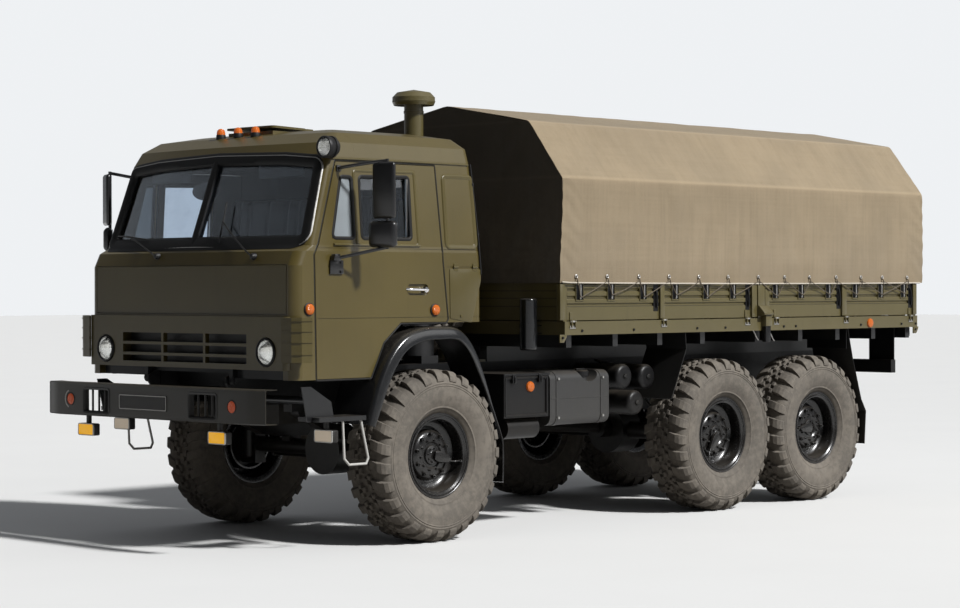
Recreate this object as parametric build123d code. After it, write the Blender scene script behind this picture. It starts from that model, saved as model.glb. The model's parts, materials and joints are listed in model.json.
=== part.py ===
from build123d import *
import math
import os

# Six-wheel-drive cargo truck with a tilting cab over the engine and a canvas-covered bed.
# Millimetres. +X is forward, +Y is the truck's left, +Z is up. The origin is on the ground under
# the middle of the truck. Most places are given as a distance ahead of the front axle.

# Driving dimensions
BUMPER_AHEAD = 1740          # bumper face ahead of the front axle
LAMP_PROUD = 6               # marker lamps in front of that face
COVER_REAR = -6226           # rear edge of the canvas cover, behind the front axle
FRONT_AXLE_X = -(BUMPER_AHEAD + LAMP_PROUD + COVER_REAR) / 2
WHEELBASE = 3340             # front axle to the first rear axle
BOGIE_SPREAD = 1320          # between the two rear axles
AXLES = {"front": 0, "middle": -WHEELBASE, "rear": -WHEELBASE - BOGIE_SPREAD}
WHEEL_Y = 1025               # middle plane of a tyre
TYRE_R = 630
AXLE_Z = TYRE_R
KINGPIN_Y = 930

RAIL_OUTER_Y, RAIL_FLANGE, RAIL_WEB = 432, 80, 10
RAIL_Z = (1010, 1270)
BED_X = (-6130, -1300)
BED_HALF = 1250
BED_RAIL_Z = (1488, 1592)
BOARD_TOP_Z = 2300
FLOOR_TOP_Z = 1530           # top of the loading panel between the benches
FLOOR_HALF = 786
PLATE = 6                    # pressed steel sheet of the chassis parts

CAB_WALL = 60
CAB_FLOOR_Z = 1600
CAB_SILL_Z = 1215
SEAM = 5                     # gap all round a door or a lid


def ahead(distance):
    """X of a point this far ahead of the front axle."""
    return FRONT_AXLE_X + distance


def block(x, y, z):
    """A box from its low and high limits; x is measured ahead of the front axle."""
    size = [high - low for low, high in (x, y, z)]
    middle = [(low + high) / 2 for low, high in (x, y, z)]
    return Pos(ahead(middle[0]), middle[1], middle[2]) * Box(*size)


def side_prism(outline, y_low, y_high):
    """A plate across the truck, cut to an outline of (distance ahead, height) points."""
    wire = Wire.make_polygon([(ahead(x), y_low, z) for x, z in outline])
    return extrude(Face(wire), y_high - y_low, dir=(0, 1, 0))


def long_prism(outline, x_low, x_high):
    """A bar along the truck, with an outline of (y, z) points."""
    wire = Wire.make_polygon([(ahead(x_low), y, z) for y, z in outline])
    return extrude(Face(wire), x_high - x_low, dir=(1, 0, 0))


def plan_prism(outline, z_low, z_high):
    """An upright prism with an outline of (distance ahead, y) points."""
    wire = Wire.make_polygon([(ahead(x), y, z_low) for x, y in outline])
    return extrude(Face(wire), z_high - z_low, dir=(0, 0, 1))


def ring(profile):
    """A ring round the Y axis from a (radius, y) outline."""
    return revolve(Face(Wire.make_polygon([(r, y, 0) for r, y in profile])), Axis.Y)


def rod(start, end, radius):
    """A round bar between two points, each (distance ahead, y, z)."""
    a, b = Vector(ahead(start[0]), *start[1:]), Vector(ahead(end[0]), *end[1:])
    along = b - a
    plane = Plane(origin=a, z_dir=along)
    return extrude(plane * Circle(radius), along.length)


def bent_rod(points, radius):
    """A round bar along corner points, with a ball at each corner."""
    bar = Part()
    for start, end in zip(points, points[1:]):
        bar += rod(start, end, radius)
    for x, y, z in points[1:-1]:
        bar += Pos(ahead(x), y, z) * Sphere(radius)
    return bar


def both(shape):
    """The shape and its mirror image on the other side of the truck."""
    return shape + mirror(shape, about=Plane.XZ)


def write(shape, node):
    export_step(shape, f"parts/{node}.step")


# Wheels and axles

TYRE_PROFILE = [(276, -146), (314, -146), (326, -172), (470, -213), (600, -190), (TYRE_R, -120),
                (TYRE_R, 120), (600, 190), (470, 213), (326, 172), (314, 146), (276, 146)]
RIM_PROFILE = [(276, -146), (314, -146), (314, -156), (300, -156), (258, -146), (258, 8),
               (258, 30), (258, 140), (300, 158), (314, 158), (314, 146), (276, 146)]
HUB_PROFILE = [(0, 24), (0, 86), (70, 86), (84, 76), (150, 76), (172, 60), (172, 40), (258, 30),
               (258, 8), (205, 0), (205, -100), (192, -100), (192, -8), (45, -8), (45, 24)]


def tyre():
    return ring(TYRE_PROFILE)


def wheel():
    return ring(RIM_PROFILE) + ring(HUB_PROFILE)


def make_wheels():
    for name, x in AXLES.items():
        for side, sign in (("left", 1), ("right", -1)):
            place = Pos(ahead(x), sign * WHEEL_Y, AXLE_Z) * Rot(0, 0, 0 if sign > 0 else 180)
            write(place * tyre(), f"tyre_{name}_{side}")
            write(place * wheel(), f"wheel_{name}_{side}")


YOKE_REACH = (-130, 34)      # fork arms, inboard and outboard of the kingpin
HOUSING_R, HOUSING_H = 62, 104
ARM_TIP = (-160, -105)       # tie rod end, behind and inboard of the kingpin


def make_front_axle():
    tube_end = KINGPIN_Y + YOKE_REACH[0]
    beam = rod((0, -tube_end, AXLE_Z), (0, tube_end, AXLE_Z), 60)
    bowl = rod((-105, 60, AXLE_Z), (130, 60, AXLE_Z), 190)
    nose = rod((-130, 60, AXLE_Z + 10), (-105, 60, AXLE_Z + 10), 90)
    fork = block((-48, 55), (tube_end, tube_end + 22), (AXLE_Z - 150, AXLE_Z + 150))
    for low in (-150, 110):
        arm = block((-55, 55), (tube_end, KINGPIN_Y + YOKE_REACH[1]), (AXLE_Z + low, AXLE_Z + low + 40))
        fork += arm
    fork -= rod((0, KINGPIN_Y, AXLE_Z - 200), (0, KINGPIN_Y, AXLE_Z + 200), 19)
    pads = block((-60, 60), (390, 480), (AXLE_Z + 40, AXLE_Z + 80))
    write(beam + bowl + nose + both(fork) + both(pads), "front_axle")


def make_knuckles():
    pin = rod((0, KINGPIN_Y, AXLE_Z - 148), (0, KINGPIN_Y, AXLE_Z + 148), 18)
    housing = rod((0, KINGPIN_Y, AXLE_Z - HOUSING_H), (0, KINGPIN_Y, AXLE_Z + HOUSING_H), HOUSING_R)
    spindle = rod((0, KINGPIN_Y, AXLE_Z), (0, WHEEL_Y + 20, AXLE_Z), 44)
    shield = rod((0, WHEEL_Y - 30, AXLE_Z), (0, WHEEL_Y - 22, AXLE_Z), 180)
    tip_x, tip_y = ARM_TIP
    line = [(-20, 5), (-98, 0), (tip_x - 15, tip_y + 13), (tip_x - 20, tip_y), (tip_x - 15, tip_y - 16),
            (tip_x + 1, tip_y - 20), (tip_x + 11, tip_y - 13), (-93, -44), (-20, -35)]
    arm = plan_prism([(x, KINGPIN_Y + y) for x, y in line], 585, 612)
    knuckle = pin + housing + spindle + shield + arm
    write(knuckle, "knuckle_left")
    write(mirror(knuckle, about=Plane.XZ), "knuckle_right")


def make_tie_rod():
    x, end_y = ARM_TIP[0], KINGPIN_Y + ARM_TIP[1]
    bar = rod((x, -end_y, 548), (x, end_y, 548), 16)
    eyes = rod((x, end_y, 526), (x, end_y, 574), 22)
    write(bar + both(eyes), "tie_rod")


def make_rear_axles():
    axles = Part()
    for name in ("middle", "rear"):
        x = AXLES[name]
        axles += rod((x, -WHEEL_Y + 40, AXLE_Z), (x, WHEEL_Y - 40, AXLE_Z), 72)
        axles += rod((x, -WHEEL_Y - 20, AXLE_Z), (x, WHEEL_Y + 20, AXLE_Z), 44)
        axles += rod((x - 120, 0, AXLE_Z), (x + 120, 0, AXLE_Z), 200)
        axles += rod((x - 230, 0, AXLE_Z + 20), (x + 230, 0, AXLE_Z + 20), 85)
        axles += both(block((x - 70, x + 70), (442, 538), (AXLE_Z + 40, 735)))
    write(axles, "rear_axles")


# Chassis

RAIL_SECTION = [(RAIL_OUTER_Y, RAIL_Z[0]), (RAIL_OUTER_Y, RAIL_Z[1]),
                (RAIL_OUTER_Y - RAIL_FLANGE, RAIL_Z[1]), (RAIL_OUTER_Y - RAIL_FLANGE, RAIL_Z[1] - RAIL_WEB),
                (RAIL_OUTER_Y - RAIL_WEB, RAIL_Z[1] - RAIL_WEB),
                (RAIL_OUTER_Y - RAIL_WEB, RAIL_Z[0] + RAIL_WEB),
                (RAIL_OUTER_Y - RAIL_FLANGE, RAIL_Z[0] + RAIL_WEB), (RAIL_OUTER_Y - RAIL_FLANGE, RAIL_Z[0])]
RAIL_X = (-5900, 1290)
PIVOT = (1350, 1200)         # cab tilt line, distance ahead and height
CROSS_MEMBERS = [1100, -1240, -2300, -3000, -4000, -5000, -5860]
TRUNNION = (AXLES["middle"] + AXLES["rear"]) / 2


def make_frame():
    frame = both(long_prism(RAIL_SECTION, *RAIL_X))
    inner = RAIL_OUTER_Y - RAIL_WEB
    for x in CROSS_MEMBERS:
        frame += block((x - 35, x + 35), (-inner, inner), (RAIL_Z[0] + 130, RAIL_Z[1] - 20))
    hanger = side_prism([(TRUNNION - 260, RAIL_Z[0] + 60), (TRUNNION + 260, RAIL_Z[0] + 60),
                         (TRUNNION + 90, 620), (TRUNNION - 90, 620)], RAIL_OUTER_Y, RAIL_OUTER_Y + 12)
    frame += both(hanger)
    frame += both(rod((TRUNNION, 340, 680), (TRUNNION, 545, 680), 60))
    frame += both(block((TRUNNION - 115, TRUNNION + 115), (RAIL_OUTER_Y + 12, 538), (735, 762)))
    for x in (-760, 760):
        frame += both(block((x - 45, x + 45), (390, 480), (955, RAIL_Z[0])))
    bracket = side_prism([(1200, 1250), (1330, 1250), (1395, 1215), (1395, 1180), (1340, 1100),
                          (1200, 1080)],
                         RAIL_OUTER_Y, RAIL_OUTER_Y + 20)
    frame += both(bracket)
    frame += both(rod((PIVOT[0], RAIL_OUTER_Y, PIVOT[1]), (PIVOT[0], RAIL_OUTER_Y + 74, PIVOT[1]), 18))
    write(frame, "frame_rails")


def leaf_pack(x, half, z_end, z_middle, leaves, y_low, y_high):
    """A bow of leaves: the long leaf's top arc, and a stepped underside."""
    top = ThreePointArc((ahead(x - half), y_low, z_end), (ahead(x), y_low, z_middle),
                        (ahead(x + half), y_low, z_end))
    lower = z_middle - leaves
    outline = [(x + half, z_end), (x + half, z_end - 22),
               (x + 0.45 * half, lower + 0.2 * (z_end - z_middle)),
               (x + 0.18 * half, lower), (x - 0.18 * half, lower),
               (x - 0.45 * half, lower + 0.2 * (z_end - z_middle)),
               (x - half, z_end - 22), (x - half, z_end)]
    rest = Polyline(*[(ahead(px), y_low, z) for px, z in outline])
    return extrude(Face(Wire([*top.edges(), *rest.edges()])), y_high - y_low, dir=(0, 1, 0))


def make_springs():
    front = leaf_pack(0, 740, 955, 810, 100, 392, 478)
    rear = leaf_pack(TRUNNION, 700, 770, 872, 110, 446, 534)
    write(both(front) + both(rear), "leaf_springs")


def make_power_train():
    write(block((-350, 800), (-330, 330), (860, 1520)), "engine_block")
    gearbox = block((-1180, -350), (-190, 190), (880, 1130))
    transfer = block((-1700, -1290), (-260, 260), (640, 1120))
    shafts = rod((-1290, 60, 700), (-134, 60, AXLE_Z + 10), 40)
    shafts += rod((-1700, 0, 740), (AXLES["middle"] + 236, 0, AXLE_Z + 20), 45)
    shafts += rod((AXLES["middle"] - 231, 0, AXLE_Z + 20), (AXLES["rear"] + 231, 0, AXLE_Z + 20), 40)
    shafts += rod((-1290, 0, 1040), (-1180, 0, 1040), 45)
    write(gearbox + transfer + shafts, "drive_shafts")


BUMPER_Z = (923, 1164)
BUMPER_PLAN = [(BUMPER_AHEAD, 1115), (BUMPER_AHEAD - 60, 1250)]
BUMPER_REAR = 1545
BUMPER_OPENING = (460, 750)
MARKER_Y, MARKER_Z, MARKER_R = 915, 1040, 50


def make_bumper():
    front_edge = BUMPER_PLAN[::-1] + [(x, -y) for x, y in BUMPER_PLAN]
    behind = [(x - PLATE, y) for x, y in front_edge][::-1]
    bumper = plan_prism(front_edge + behind, *BUMPER_Z)
    flange = [(BUMPER_REAR, 1250)] + front_edge + [(BUMPER_REAR, -1250)]
    for low in (BUMPER_Z[0], BUMPER_Z[1] - PLATE):
        bumper += plan_prism(flange, low, low + PLATE)
    opening = block((1600, 1800), BUMPER_OPENING, (955, 1118))
    rim = block((1690, BUMPER_AHEAD - PLATE), (BUMPER_OPENING[0] - 12, BUMPER_OPENING[1] + 12), (943, 1130))
    bumper += both(rim)
    bumper -= both(opening)
    bumper -= both(rod((1700, MARKER_Y, MARKER_Z), (1800, MARKER_Y, MARKER_Z), MARKER_R + 1))
    bumper += both(block((BUMPER_REAR, BUMPER_AHEAD - 70), (1244, 1250), BUMPER_Z))
    web = RAIL_OUTER_Y - RAIL_WEB
    bracket = block((1150, BUMPER_AHEAD - PLATE), (web - 12, web), (1025, 1125))
    write(bumper + both(bracket), "front_bumper")


TANK_Z = (790, 1207)
TANK_Y = (560, 1150)
TANK_X = (-1930, -1240)


def make_tanks():
    tank = block(TANK_X, TANK_Y, TANK_Z)
    tank = fillet(tank.edges().filter_by(Axis.X), 70)
    notch = rod((-1700, 1150, 1240), (-1700, 930, 1240), 120)
    tank -= notch
    tank += rod((-1700, 1050, 1110), (-1700, 1050, 1165), 55)
    for x in (-1330, -1850):
        strap = block((x - 22, x + 22), (TANK_Y[0] - 4, TANK_Y[1] + 4), (TANK_Z[0] - 4, TANK_Z[1] + 4))
        strap = fillet(strap.edges().filter_by(Axis.X), 74)
        tank += strap
        tank += block((x - 25, x + 25), (RAIL_OUTER_Y, TANK_Y[0] + 30), (RAIL_Z[0] + 20, RAIL_Z[0] + 120))
    write(both(tank), "fuel_tanks")


def make_battery_box():
    box = block((-1220, -725), (640, 1150), (868, 1185))
    lid = block((-1230, -715), (630, 1160), (1185, 1203))
    shelf = block((-1220, -725), (RAIL_OUTER_Y, 660), (1060, 1120))
    pocket = block((-1195, -750), (1143, 1200), (893, 1160))
    box -= fillet(pocket.edges().filter_by(Axis.Y), 20)
    write(box + lid + shelf, "battery_box")


CANISTER = (-1175, 985)


def make_canister():
    x, y = CANISTER
    drum = rod((x, y, 1370), (x, y, 1770), 68)
    rims = drum.edges().filter_by(GeomType.CIRCLE)
    drum = fillet(rims, 16)
    for z in (1500, 1560):
        drum += block((BED_X[1], x), (y - 25, y + 25), (z - 4, z + 4))
        drum += rod((x, y, z - 14), (x, y, z + 14), 71)
    write(drum, "stowage_canister")


def air_tank(x, z):
    """A receiver across the truck with domed ends, hung from the rail."""
    radius = 100
    body = rod((x, 560, z), (x, 1010, z), radius)
    for y, height in ((560, -38), (1010, 38)):
        dome = rod((x, y, z), (x, y + height, z), radius)
        far = dome.edges().filter_by(GeomType.CIRCLE).sort_by(Axis.Y)[-1 if height > 0 else 0]
        body += fillet(far, 36)
    return body


def make_air_tanks():
    tanks = Part()
    for x, z in ((-2250, 1140), (-2535, 1132), (-2395, 925)):
        tanks += air_tank(x, z)
    tanks += block((-2560, -2200), (RAIL_OUTER_Y, 620), (1025, 1040))
    tanks += block((-2410, -2380), (600, 640), (1000, 1040))
    tanks += rod((-1150, 1040, 785), (-800, 1040, 785), 82)
    write(tanks, "air_tanks")


def make_silencer():
    drum = rod((-1220, -850, 1010), (-740, -850, 1010), 150)
    pipe = bent_rod([(-740, -850, 1010), (-690, -850, 1010), (-690, -520, 1000)], 38)
    strap = block((-1010, -950), (-700, -RAIL_OUTER_Y), (1085, 1105))
    tail = rod((-1000, -990, 1010), (-1000, -1150, 985), 38)
    write(drum + pipe + strap + tail, "silencer")


INTAKE = (-625, 290)         # air intake stack


def make_air_intake():
    x, y = INTAKE
    stack = rod((x - 20, y, 1330), (x - 20, y, 1900), 138)
    stack += rod((x, y, 1900), (x, y, 3290), 74)
    cap = revolve(Plane.XZ * make_face(Polyline((0, 3275), (155, 3262), (165, 3285), (165, 3325),
                                                (130, 3362), (0, 3385), close=True)), Axis.Z)
    stack += Pos(ahead(x), y, 0) * cap
    stack += block((x - 120, x + 60), (y - 60, RAIL_OUTER_Y), (1270, 1330))
    write(stack, "air_intake")


SPARE = (-1015, -230, 1920)  # spare wheel centre


def make_spare():
    x, y, z = SPARE
    place = Pos(ahead(x), y, z) * Rot(0, 0, 90)
    write(place * tyre(), "spare_tyre")
    carrier = place * ring(RIM_PROFILE)
    carrier += rod((x - 30, y, z), (x - 10, y, z), 262)
    carrier += rod((-1250, y, z), (x - 20, y, z), 60)
    for offset in (-190, 190):
        carrier += block((-1275, -1240), (y + offset - 25, y + offset + 25), (RAIL_Z[1], z + 60))
    carrier += block((-1275, -1240), (y - 190, y + 190), (z - 60, z + 60))
    carrier += block((-1275, -1200), (-RAIL_OUTER_Y - 60, RAIL_OUTER_Y), (RAIL_Z[1], RAIL_Z[1] + 18))
    write(carrier, "spare_carrier")


# Flare outline: distance ahead, height, depth of the outer lip
FLARE = [(763, 891, 60), (705, 1059, 72), (647, 1198, 78), (549, 1373, 80), (411, 1528, 80),
         (130, 1566, 78), (-182, 1566, 74), (-394, 1377, 66), (-548, 1092, 44), (-680, 790, 20),
         (-712, 660, 14), (-710, 390, 14)]
FLARE_SKIN = 12


def toward_axle(depths):
    """The flare's outline moved in towards the front axle by each point's own depth."""
    points = []
    for (x, z, _), depth in zip(FLARE, depths):
        reach = math.hypot(x, z - AXLE_Z)
        scale = 1 - depth / reach
        points.append((x * scale, AXLE_Z + (z - AXLE_Z) * scale))
    return points


def make_fenders():
    outer = [(x, z) for x, z, _ in FLARE]
    skin = side_prism(outer + toward_axle([FLARE_SKIN] * len(FLARE))[::-1], 840, 1245)
    lip = side_prism(outer + toward_axle([lip for _, _, lip in FLARE])[::-1], 1229, 1245)
    flare = skin + lip
    flare -= plan_prism([(-100, 1260), (-100, 1246), (-720, 1170), (-760, 1170), (-760, 1260)], 300, 1700)
    for x, z in ((620, 1222), (-543, 1085)):
        flare += rod((x, RAIL_OUTER_Y, z), (x, 850, z), 16)
    tread = block((778, 1222), (1015, 1235), (925, 957))
    tread += side_prism([(1320, 1170), (1262, 925), (1010, 925), (1040, 1060), (1230, 1170)], 1150, 1158)
    tread += rod((1110, RAIL_OUTER_Y, 1065), (1110, 1150, 1065), 28)
    loop = bent_rod([(985, 1215, 930), (970, 1215, 660), (925, 1215, 616), (762, 1215, 616),
                     (742, 1215, 655), (796, 1215, 860), (812, 1215, 930)], 9)
    write(both(flare), "front_fenders")
    write(both(tread + loop), "front_steps")


# Load bed

CROSS_BEAMS = [-1400, -1950, -2500, -3050, -3790, -4400, -4950, -5500, -6040]
SIDE_BAYS = [(-3715, -1345), (-6085, -3865)]
RIB_PITCH = 58


GATE_X = -6128
GATE_AXIS = (-6137, 1596)    # tailgate hinge line, distance ahead and height
GATE_HINGES = [-1000, -340, 340, 1000]


def make_bed_frame():
    bed = both(block((-6050, -1290), (RAIL_OUTER_Y - RAIL_FLANGE, RAIL_OUTER_Y), (RAIL_Z[1], 1390)))
    for x in CROSS_BEAMS:
        bed += block((x - 30, x + 30), (-1200, 1200), (1390, 1490))
    bed += block((BED_X[0] + 45, BED_X[1] - 45), (-1205, 1205), (1490, FLOOR_TOP_Z - 4))
    bed += block((BED_X[0] + 50, BED_X[1] - 48), (-FLOOR_HALF, FLOOR_HALF), (FLOOR_TOP_Z - 4, FLOOR_TOP_Z))
    edge = block(BED_X, (-BED_HALF, BED_HALF), BED_RAIL_Z)
    edge -= block((BED_X[0] + 45, BED_X[1] - 45), (-1205, 1205), (1400, 1700))
    bed += edge
    for low, high in ((-1345, -1306), (-3865, -3715), (BED_X[0], -6085)):
        bed += both(block((low, high), (1190, 1230), (BED_RAIL_Z[1], BOARD_TOP_Z)))
    for y in GATE_HINGES:
        for low in (y - 62, y + 34):
            bed += rod((GATE_AXIS[0], low, GATE_AXIS[1]), (GATE_AXIS[0], low + 28, GATE_AXIS[1]), 6)
            bed += block((GATE_AXIS[0] - 6, BED_X[0] + 4), (low, low + 28), (1560, GATE_AXIS[1]))
    write(bed, "bed_frame")


def board_section(outer, inner, z_low, z_high):
    """A pressed board's outline: plain foot, then ribs of one pitch."""
    points = [(inner, z_low), (outer, z_low), (outer, z_low + 100)]
    z = z_low + 112
    while z + RIB_PITCH < z_high:
        points += [(outer - 12, z), (outer - 12, z + 8), (outer, z + 20), (outer, z + RIB_PITCH - 12)]
        z += RIB_PITCH
    return points + [(outer, z_high), (inner, z_high)]


BOARD_Z = (1600, BOARD_TOP_Z)


def make_boards():
    section = board_section(1228, 1192, *BOARD_Z)
    boards = Part()
    for low, high in SIDE_BAYS:
        boards += both(long_prism(section, low + SEAM, high - SEAM))
    front = side_prism([(-1342, BOARD_Z[0]), (-1306, BOARD_Z[0]), (-1306, BOARD_Z[1]), (-1342, BOARD_Z[1])],
                       -1180, 1180)
    write(boards + front, "bed_boards")


def make_tailgate():
    section = board_section(-GATE_X, -GATE_X - 38, *BOARD_Z)
    gate = side_prism([(-x, z) for x, z in section], -1182, 1182)
    for y in GATE_HINGES:
        gate += rod((GATE_AXIS[0], y - 28, GATE_AXIS[1]), (GATE_AXIS[0], y + 28, GATE_AXIS[1]), 6)
        gate += block((GATE_AXIS[0] - 1, GATE_X + 2), (y - 28, y + 28), (GATE_AXIS[1], 1650))
    write(gate, "tailgate")


# Cover outline: half-width and height, from the hem up to the ridge
COVER = [(1250, 1885), (1250, 2310), (1232, 2696), (890, 3151), (0, 3314)]
CANVAS = 18


def cover_outline(inset):
    half = [(y - inset if y else 0, z - (inset if z > 2700 else inset * 0.4 if z > 2400 else 0))
            for y, z in COVER]
    return half + [(-y, z) for y, z in half[-2::-1]]


def make_cover():
    front_x = BED_X[1] + 15
    cover = long_prism(cover_outline(0), COVER_REAR, front_x)
    cover -= long_prism(cover_outline(CANVAS), COVER_REAR - 10, front_x - CANVAS)
    gable = long_prism(cover_outline(CANVAS), COVER_REAR + 20, COVER_REAR + 20 + CANVAS)
    gable -= block((COVER_REAR - 10, COVER_REAR + 100), (-1300, 1300), (1800, 3040))
    roll = rod((COVER_REAR + 75, -950, 3010), (COVER_REAR + 75, 950, 3010), 58)
    cover += gable + roll
    write(cover, "canvas_cover")


BOWS = [-1420, -2560, -3700, -4860, -6020]
BOW = 40


def bow_outline(inset):
    half = [(1180 - inset, BOARD_TOP_Z), (1180 - inset, 2680 - inset * 0.4),
            (862 - inset * 0.6, 3118 - inset),
            (0, 3276 - inset)]
    return half + [(-y, z) for y, z in half[-2::-1]]


def make_cover_frame():
    bows = Part()
    for x in BOWS:
        bow = long_prism(bow_outline(0), x - BOW / 2, x + BOW / 2)
        bow -= long_prism([(y, z - (400 if z == BOARD_TOP_Z else 0)) for y, z in bow_outline(BOW)],
                          x - BOW, x + BOW)
        bows += bow
        bows += both(block((x - BOW / 2, x + BOW / 2), (1140, 1180), (FLOOR_TOP_Z - 4, BOARD_TOP_Z)))
    for y, z in ((1130, 2600), (800, 3070)):
        bows += both(block((BOWS[-1], BOWS[0]), (y - 30, y), (z - 30, z)))
    write(bows, "cover_frame")


def make_benches():
    benches = Part()
    for y in (790, 900, 1010):
        benches += block((-5950, -1480), (y, y + 95), (1950, 1975))
    for x in (-1700, -2700, -3700, -4700, -5700):
        benches += block((x - 20, x + 20), (790, 1140), (1915, 1950))
        benches += block((x - 20, x + 20), (830, 870), (FLOOR_TOP_Z - 4, 1915))
    write(both(benches), "bed_benches")


def make_mudguards():
    front = [(-2790, 1488), (-2800, 1349), (-2610, 950), (-2604, 955), (-2793, 1353), (-2783, 1488)]
    rear = [(-5055, 1488), (-5130, 1230), (-5260, 860), (-5330, 751), (-5310, 461), (-5316, 460),
            (-5337, 752),
            (-5266, 858), (-5136, 1226), (-5061, 1488)]
    guards = Part()
    for outline in (front, rear):
        guards += side_prism(outline, 815, 1235)
    for x, z in ((-2700, 1140), (-5172, 1120)):
        guards += rod((x, RAIL_OUTER_Y, z), (x, 830, z), 16)
    write(both(guards), "rear_mudguards")


def make_underrun():
    beam = block((-5970, -5900), (-1120, 1120), (1072, 1190))
    plate = block((-5940, -5930), (860, 1130), (1190, 1488))
    write(beam + both(plate), "underrun_bar")


HOOK = (-6050, 1130)         # tow hook eye, distance ahead and height


def make_tow_hook():
    x, z = HOOK
    shank = rod((-5980, 0, z), (x + 40, 0, z), 26)
    hook = rod((x, -22, z), (x, 22, z), 60) - rod((x, -30, z), (x, 30, z), 30)
    back_plate = block((-5986, -5970), (-110, 110), (1078, 1184))
    write(shank + hook + back_plate, "tow_hook")


def make_chassis_lamps():
    lamps = Part()
    for y, x in ((1140, 1105), (745, 1735)):
        lamp = block((x - 70, x), (y - 95, y + 95), (775, 868))
        lamps += fillet(lamp.edges().filter_by(Axis.X), 14)
        lamps += block((x - 50, x - 20), (y - 14, y + 14), (868, BUMPER_Z[0]))
    lamps += rod((BUMPER_AHEAD - 60, MARKER_Y, MARKER_Z), (BUMPER_AHEAD + LAMP_PROUD, MARKER_Y, MARKER_Z),
                 MARKER_R)
    lamps += block((BUMPER_AHEAD - 60, BUMPER_AHEAD - 50), (MARKER_Y - 20, MARKER_Y + 20), (MARKER_Z, 1158))
    tail = block((BED_X[0] + 5, BED_X[0] + 60), (930, 1180), (1400, 1488))
    write(both(lamps + tail), "chassis_lamps")


# Cab

# Section table: height, front at the middle, front at the glass corner, half-width at that
# corner, half-width of the side, front of the side, rear
CAB_SECTIONS = [
    (1150, 1385, 1380, 1090, 1160, 1310, -487),
    (2010, 1385, 1378, 1090, 1160, 1308, -485),
    (2110, 1362, 1332, 1085, 1158, 1262, -478),
    (2150, 1338, 1240, 1110, 1152, 1192, -474),
    (2775, 1105, 1035, 1050, 1105, 985, -425),
    (2880, 1050, 975, 1020, 1082, 925, -415),
    (2955, 930, 870, 930, 985, 820, -360),
    (2995, 700, 660, 700, 745, 620, -180),
]
REAR_CORNER = 60


def bulge(a, b, share):
    """Middle point of a shallow arc that bows outwards between two points."""
    middle = Vector((a[0] + b[0]) / 2, (a[1] + b[1]) / 2, a[2])
    outward = Vector(abs(b[1] - a[1]), abs(b[0] - a[0]), 0) * share
    outward.X *= 1 if middle.X > ahead(400) else -1
    outward.Y *= 1 if middle.Y > 0 else -1
    return middle + outward


def cab_wire(row, inset):
    """One level outline of the cab: bowed front, round corners, flat sides and rear."""
    z, mid, corner, glass, half, side, rear = row
    if z > 2800:
        z -= inset
    mid, corner, side, rear = (ahead(mid - inset), ahead(corner - inset), ahead(side), ahead(rear + inset))
    glass, half = glass - inset * 0.8, half - inset
    side = min(side, corner - 20)
    left = [(corner, glass, z), (side, half, z), (rear + REAR_CORNER, half, z),
            (rear, half - REAR_CORNER, z)]
    right = [(x, -y, z) for x, y, z in left]
    front = ThreePointArc(right[0], (mid, 0, z), left[0])
    edges = [front, ThreePointArc(left[0], bulge(left[0], left[1], 0.15), left[1]), Line(left[1], left[2]),
             ThreePointArc(left[2], bulge(left[2], left[3], 0.2), left[3]), Line(left[3], right[3]),
             ThreePointArc(right[3], bulge(right[3], right[2], 0.2), right[2]), Line(right[2], right[1]),
             ThreePointArc(right[1], bulge(right[1], right[0], 0.15), right[0])]
    return Wire([edge.edge() for edge in edges])


def cab_solid(inset):
    return Solid.make_loft([cab_wire(row, inset) for row in CAB_SECTIONS], ruled=True)


def cab_skin(outer, inner):
    """A layer of the cab's wall between two depths below its surface."""
    return cab_solid(outer) - cab_solid(inner)


# Wheel arch and sill line of the cab
ARCH = [(658, 1100), (658, CAB_SILL_Z), (533, 1463), (362, CAB_FLOOR_Z), (-700, CAB_FLOOR_Z), (-700, 1100)]
DOOR = [(1178, CAB_SILL_Z), (1195, 2085), (1150, 2160), (952, 2745), (-30, 2745), (-66, 2040), (-117, 1625),
        (-100, CAB_FLOOR_Z), (362, CAB_FLOOR_Z), (533, 1463), (658, CAB_SILL_Z)]
QUARTER_LIGHT = [(1020, 2200), (912, 2640), (800, 2640), (800, 2200)]
DOOR_LIGHT = [(735, 2200), (735, 2645), (240, 2655), (240, 2200)]
WINDSCREEN = [(22, 2178), (1088, 2178), (1034, 2755), (22, 2768)]
GRILLE_HALF, GRILLE_Z = 715, (1305, 1540)
GRILLE_ROWS = [(1321, 1365), (1386, 1444), (1465, 1530)]
VANE_Z = [1393, 1477, 1553, 1625]
LAMP_Y, LAMP_Z, LAMP_R = 906, 1408, 100
LID_HALF, LID_Z = 1075, (1668, 2018)
LID_DEPTH = 28
ROOF_SEAM_Z = 2790
CREASE = 4                   # depth of the pressed lines in the sides
HANDLE_X, HANDLE_Z = (85, 295), (1800, 1880)
HATCH_X, HATCH_HALF = (380, 800), 270


def shrink(outline, amount):
    """The outline moved inwards all round, as a flat face in the X-Z plane."""
    face = Face(Wire.make_polygon([(ahead(x), 0, z) for x, z in outline]))
    return offset(face, -amount, kind=Kind.INTERSECTION)


def door_cut(amount):
    return extrude(Pos(0, 900, 0) * shrink(DOOR, amount), 400, dir=(0, 1, 0))


def light_cut(outline):
    return side_prism(outline, 900, 1300)


def rounded_panel(x, z, radius):
    """A slab through both cab sides, cut to a rectangle with round corners."""
    slab = block(x, (900, 1300), z)
    return both(fillet(slab.edges().filter_by(Axis.Y), radius))


def side_grooves():
    """Pressed lines of the cab's sides: two creases and the locker's seam."""
    lines = block((-700, 1178), (900, 1300), (1638, 1642))
    lines += block((-700, 1178), (900, 1300), (2130, 2134))
    lines += block((-700, -105), (900, 1300), (2002, 2008))
    return both(cab_skin(-1, CREASE) & lines)


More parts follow.
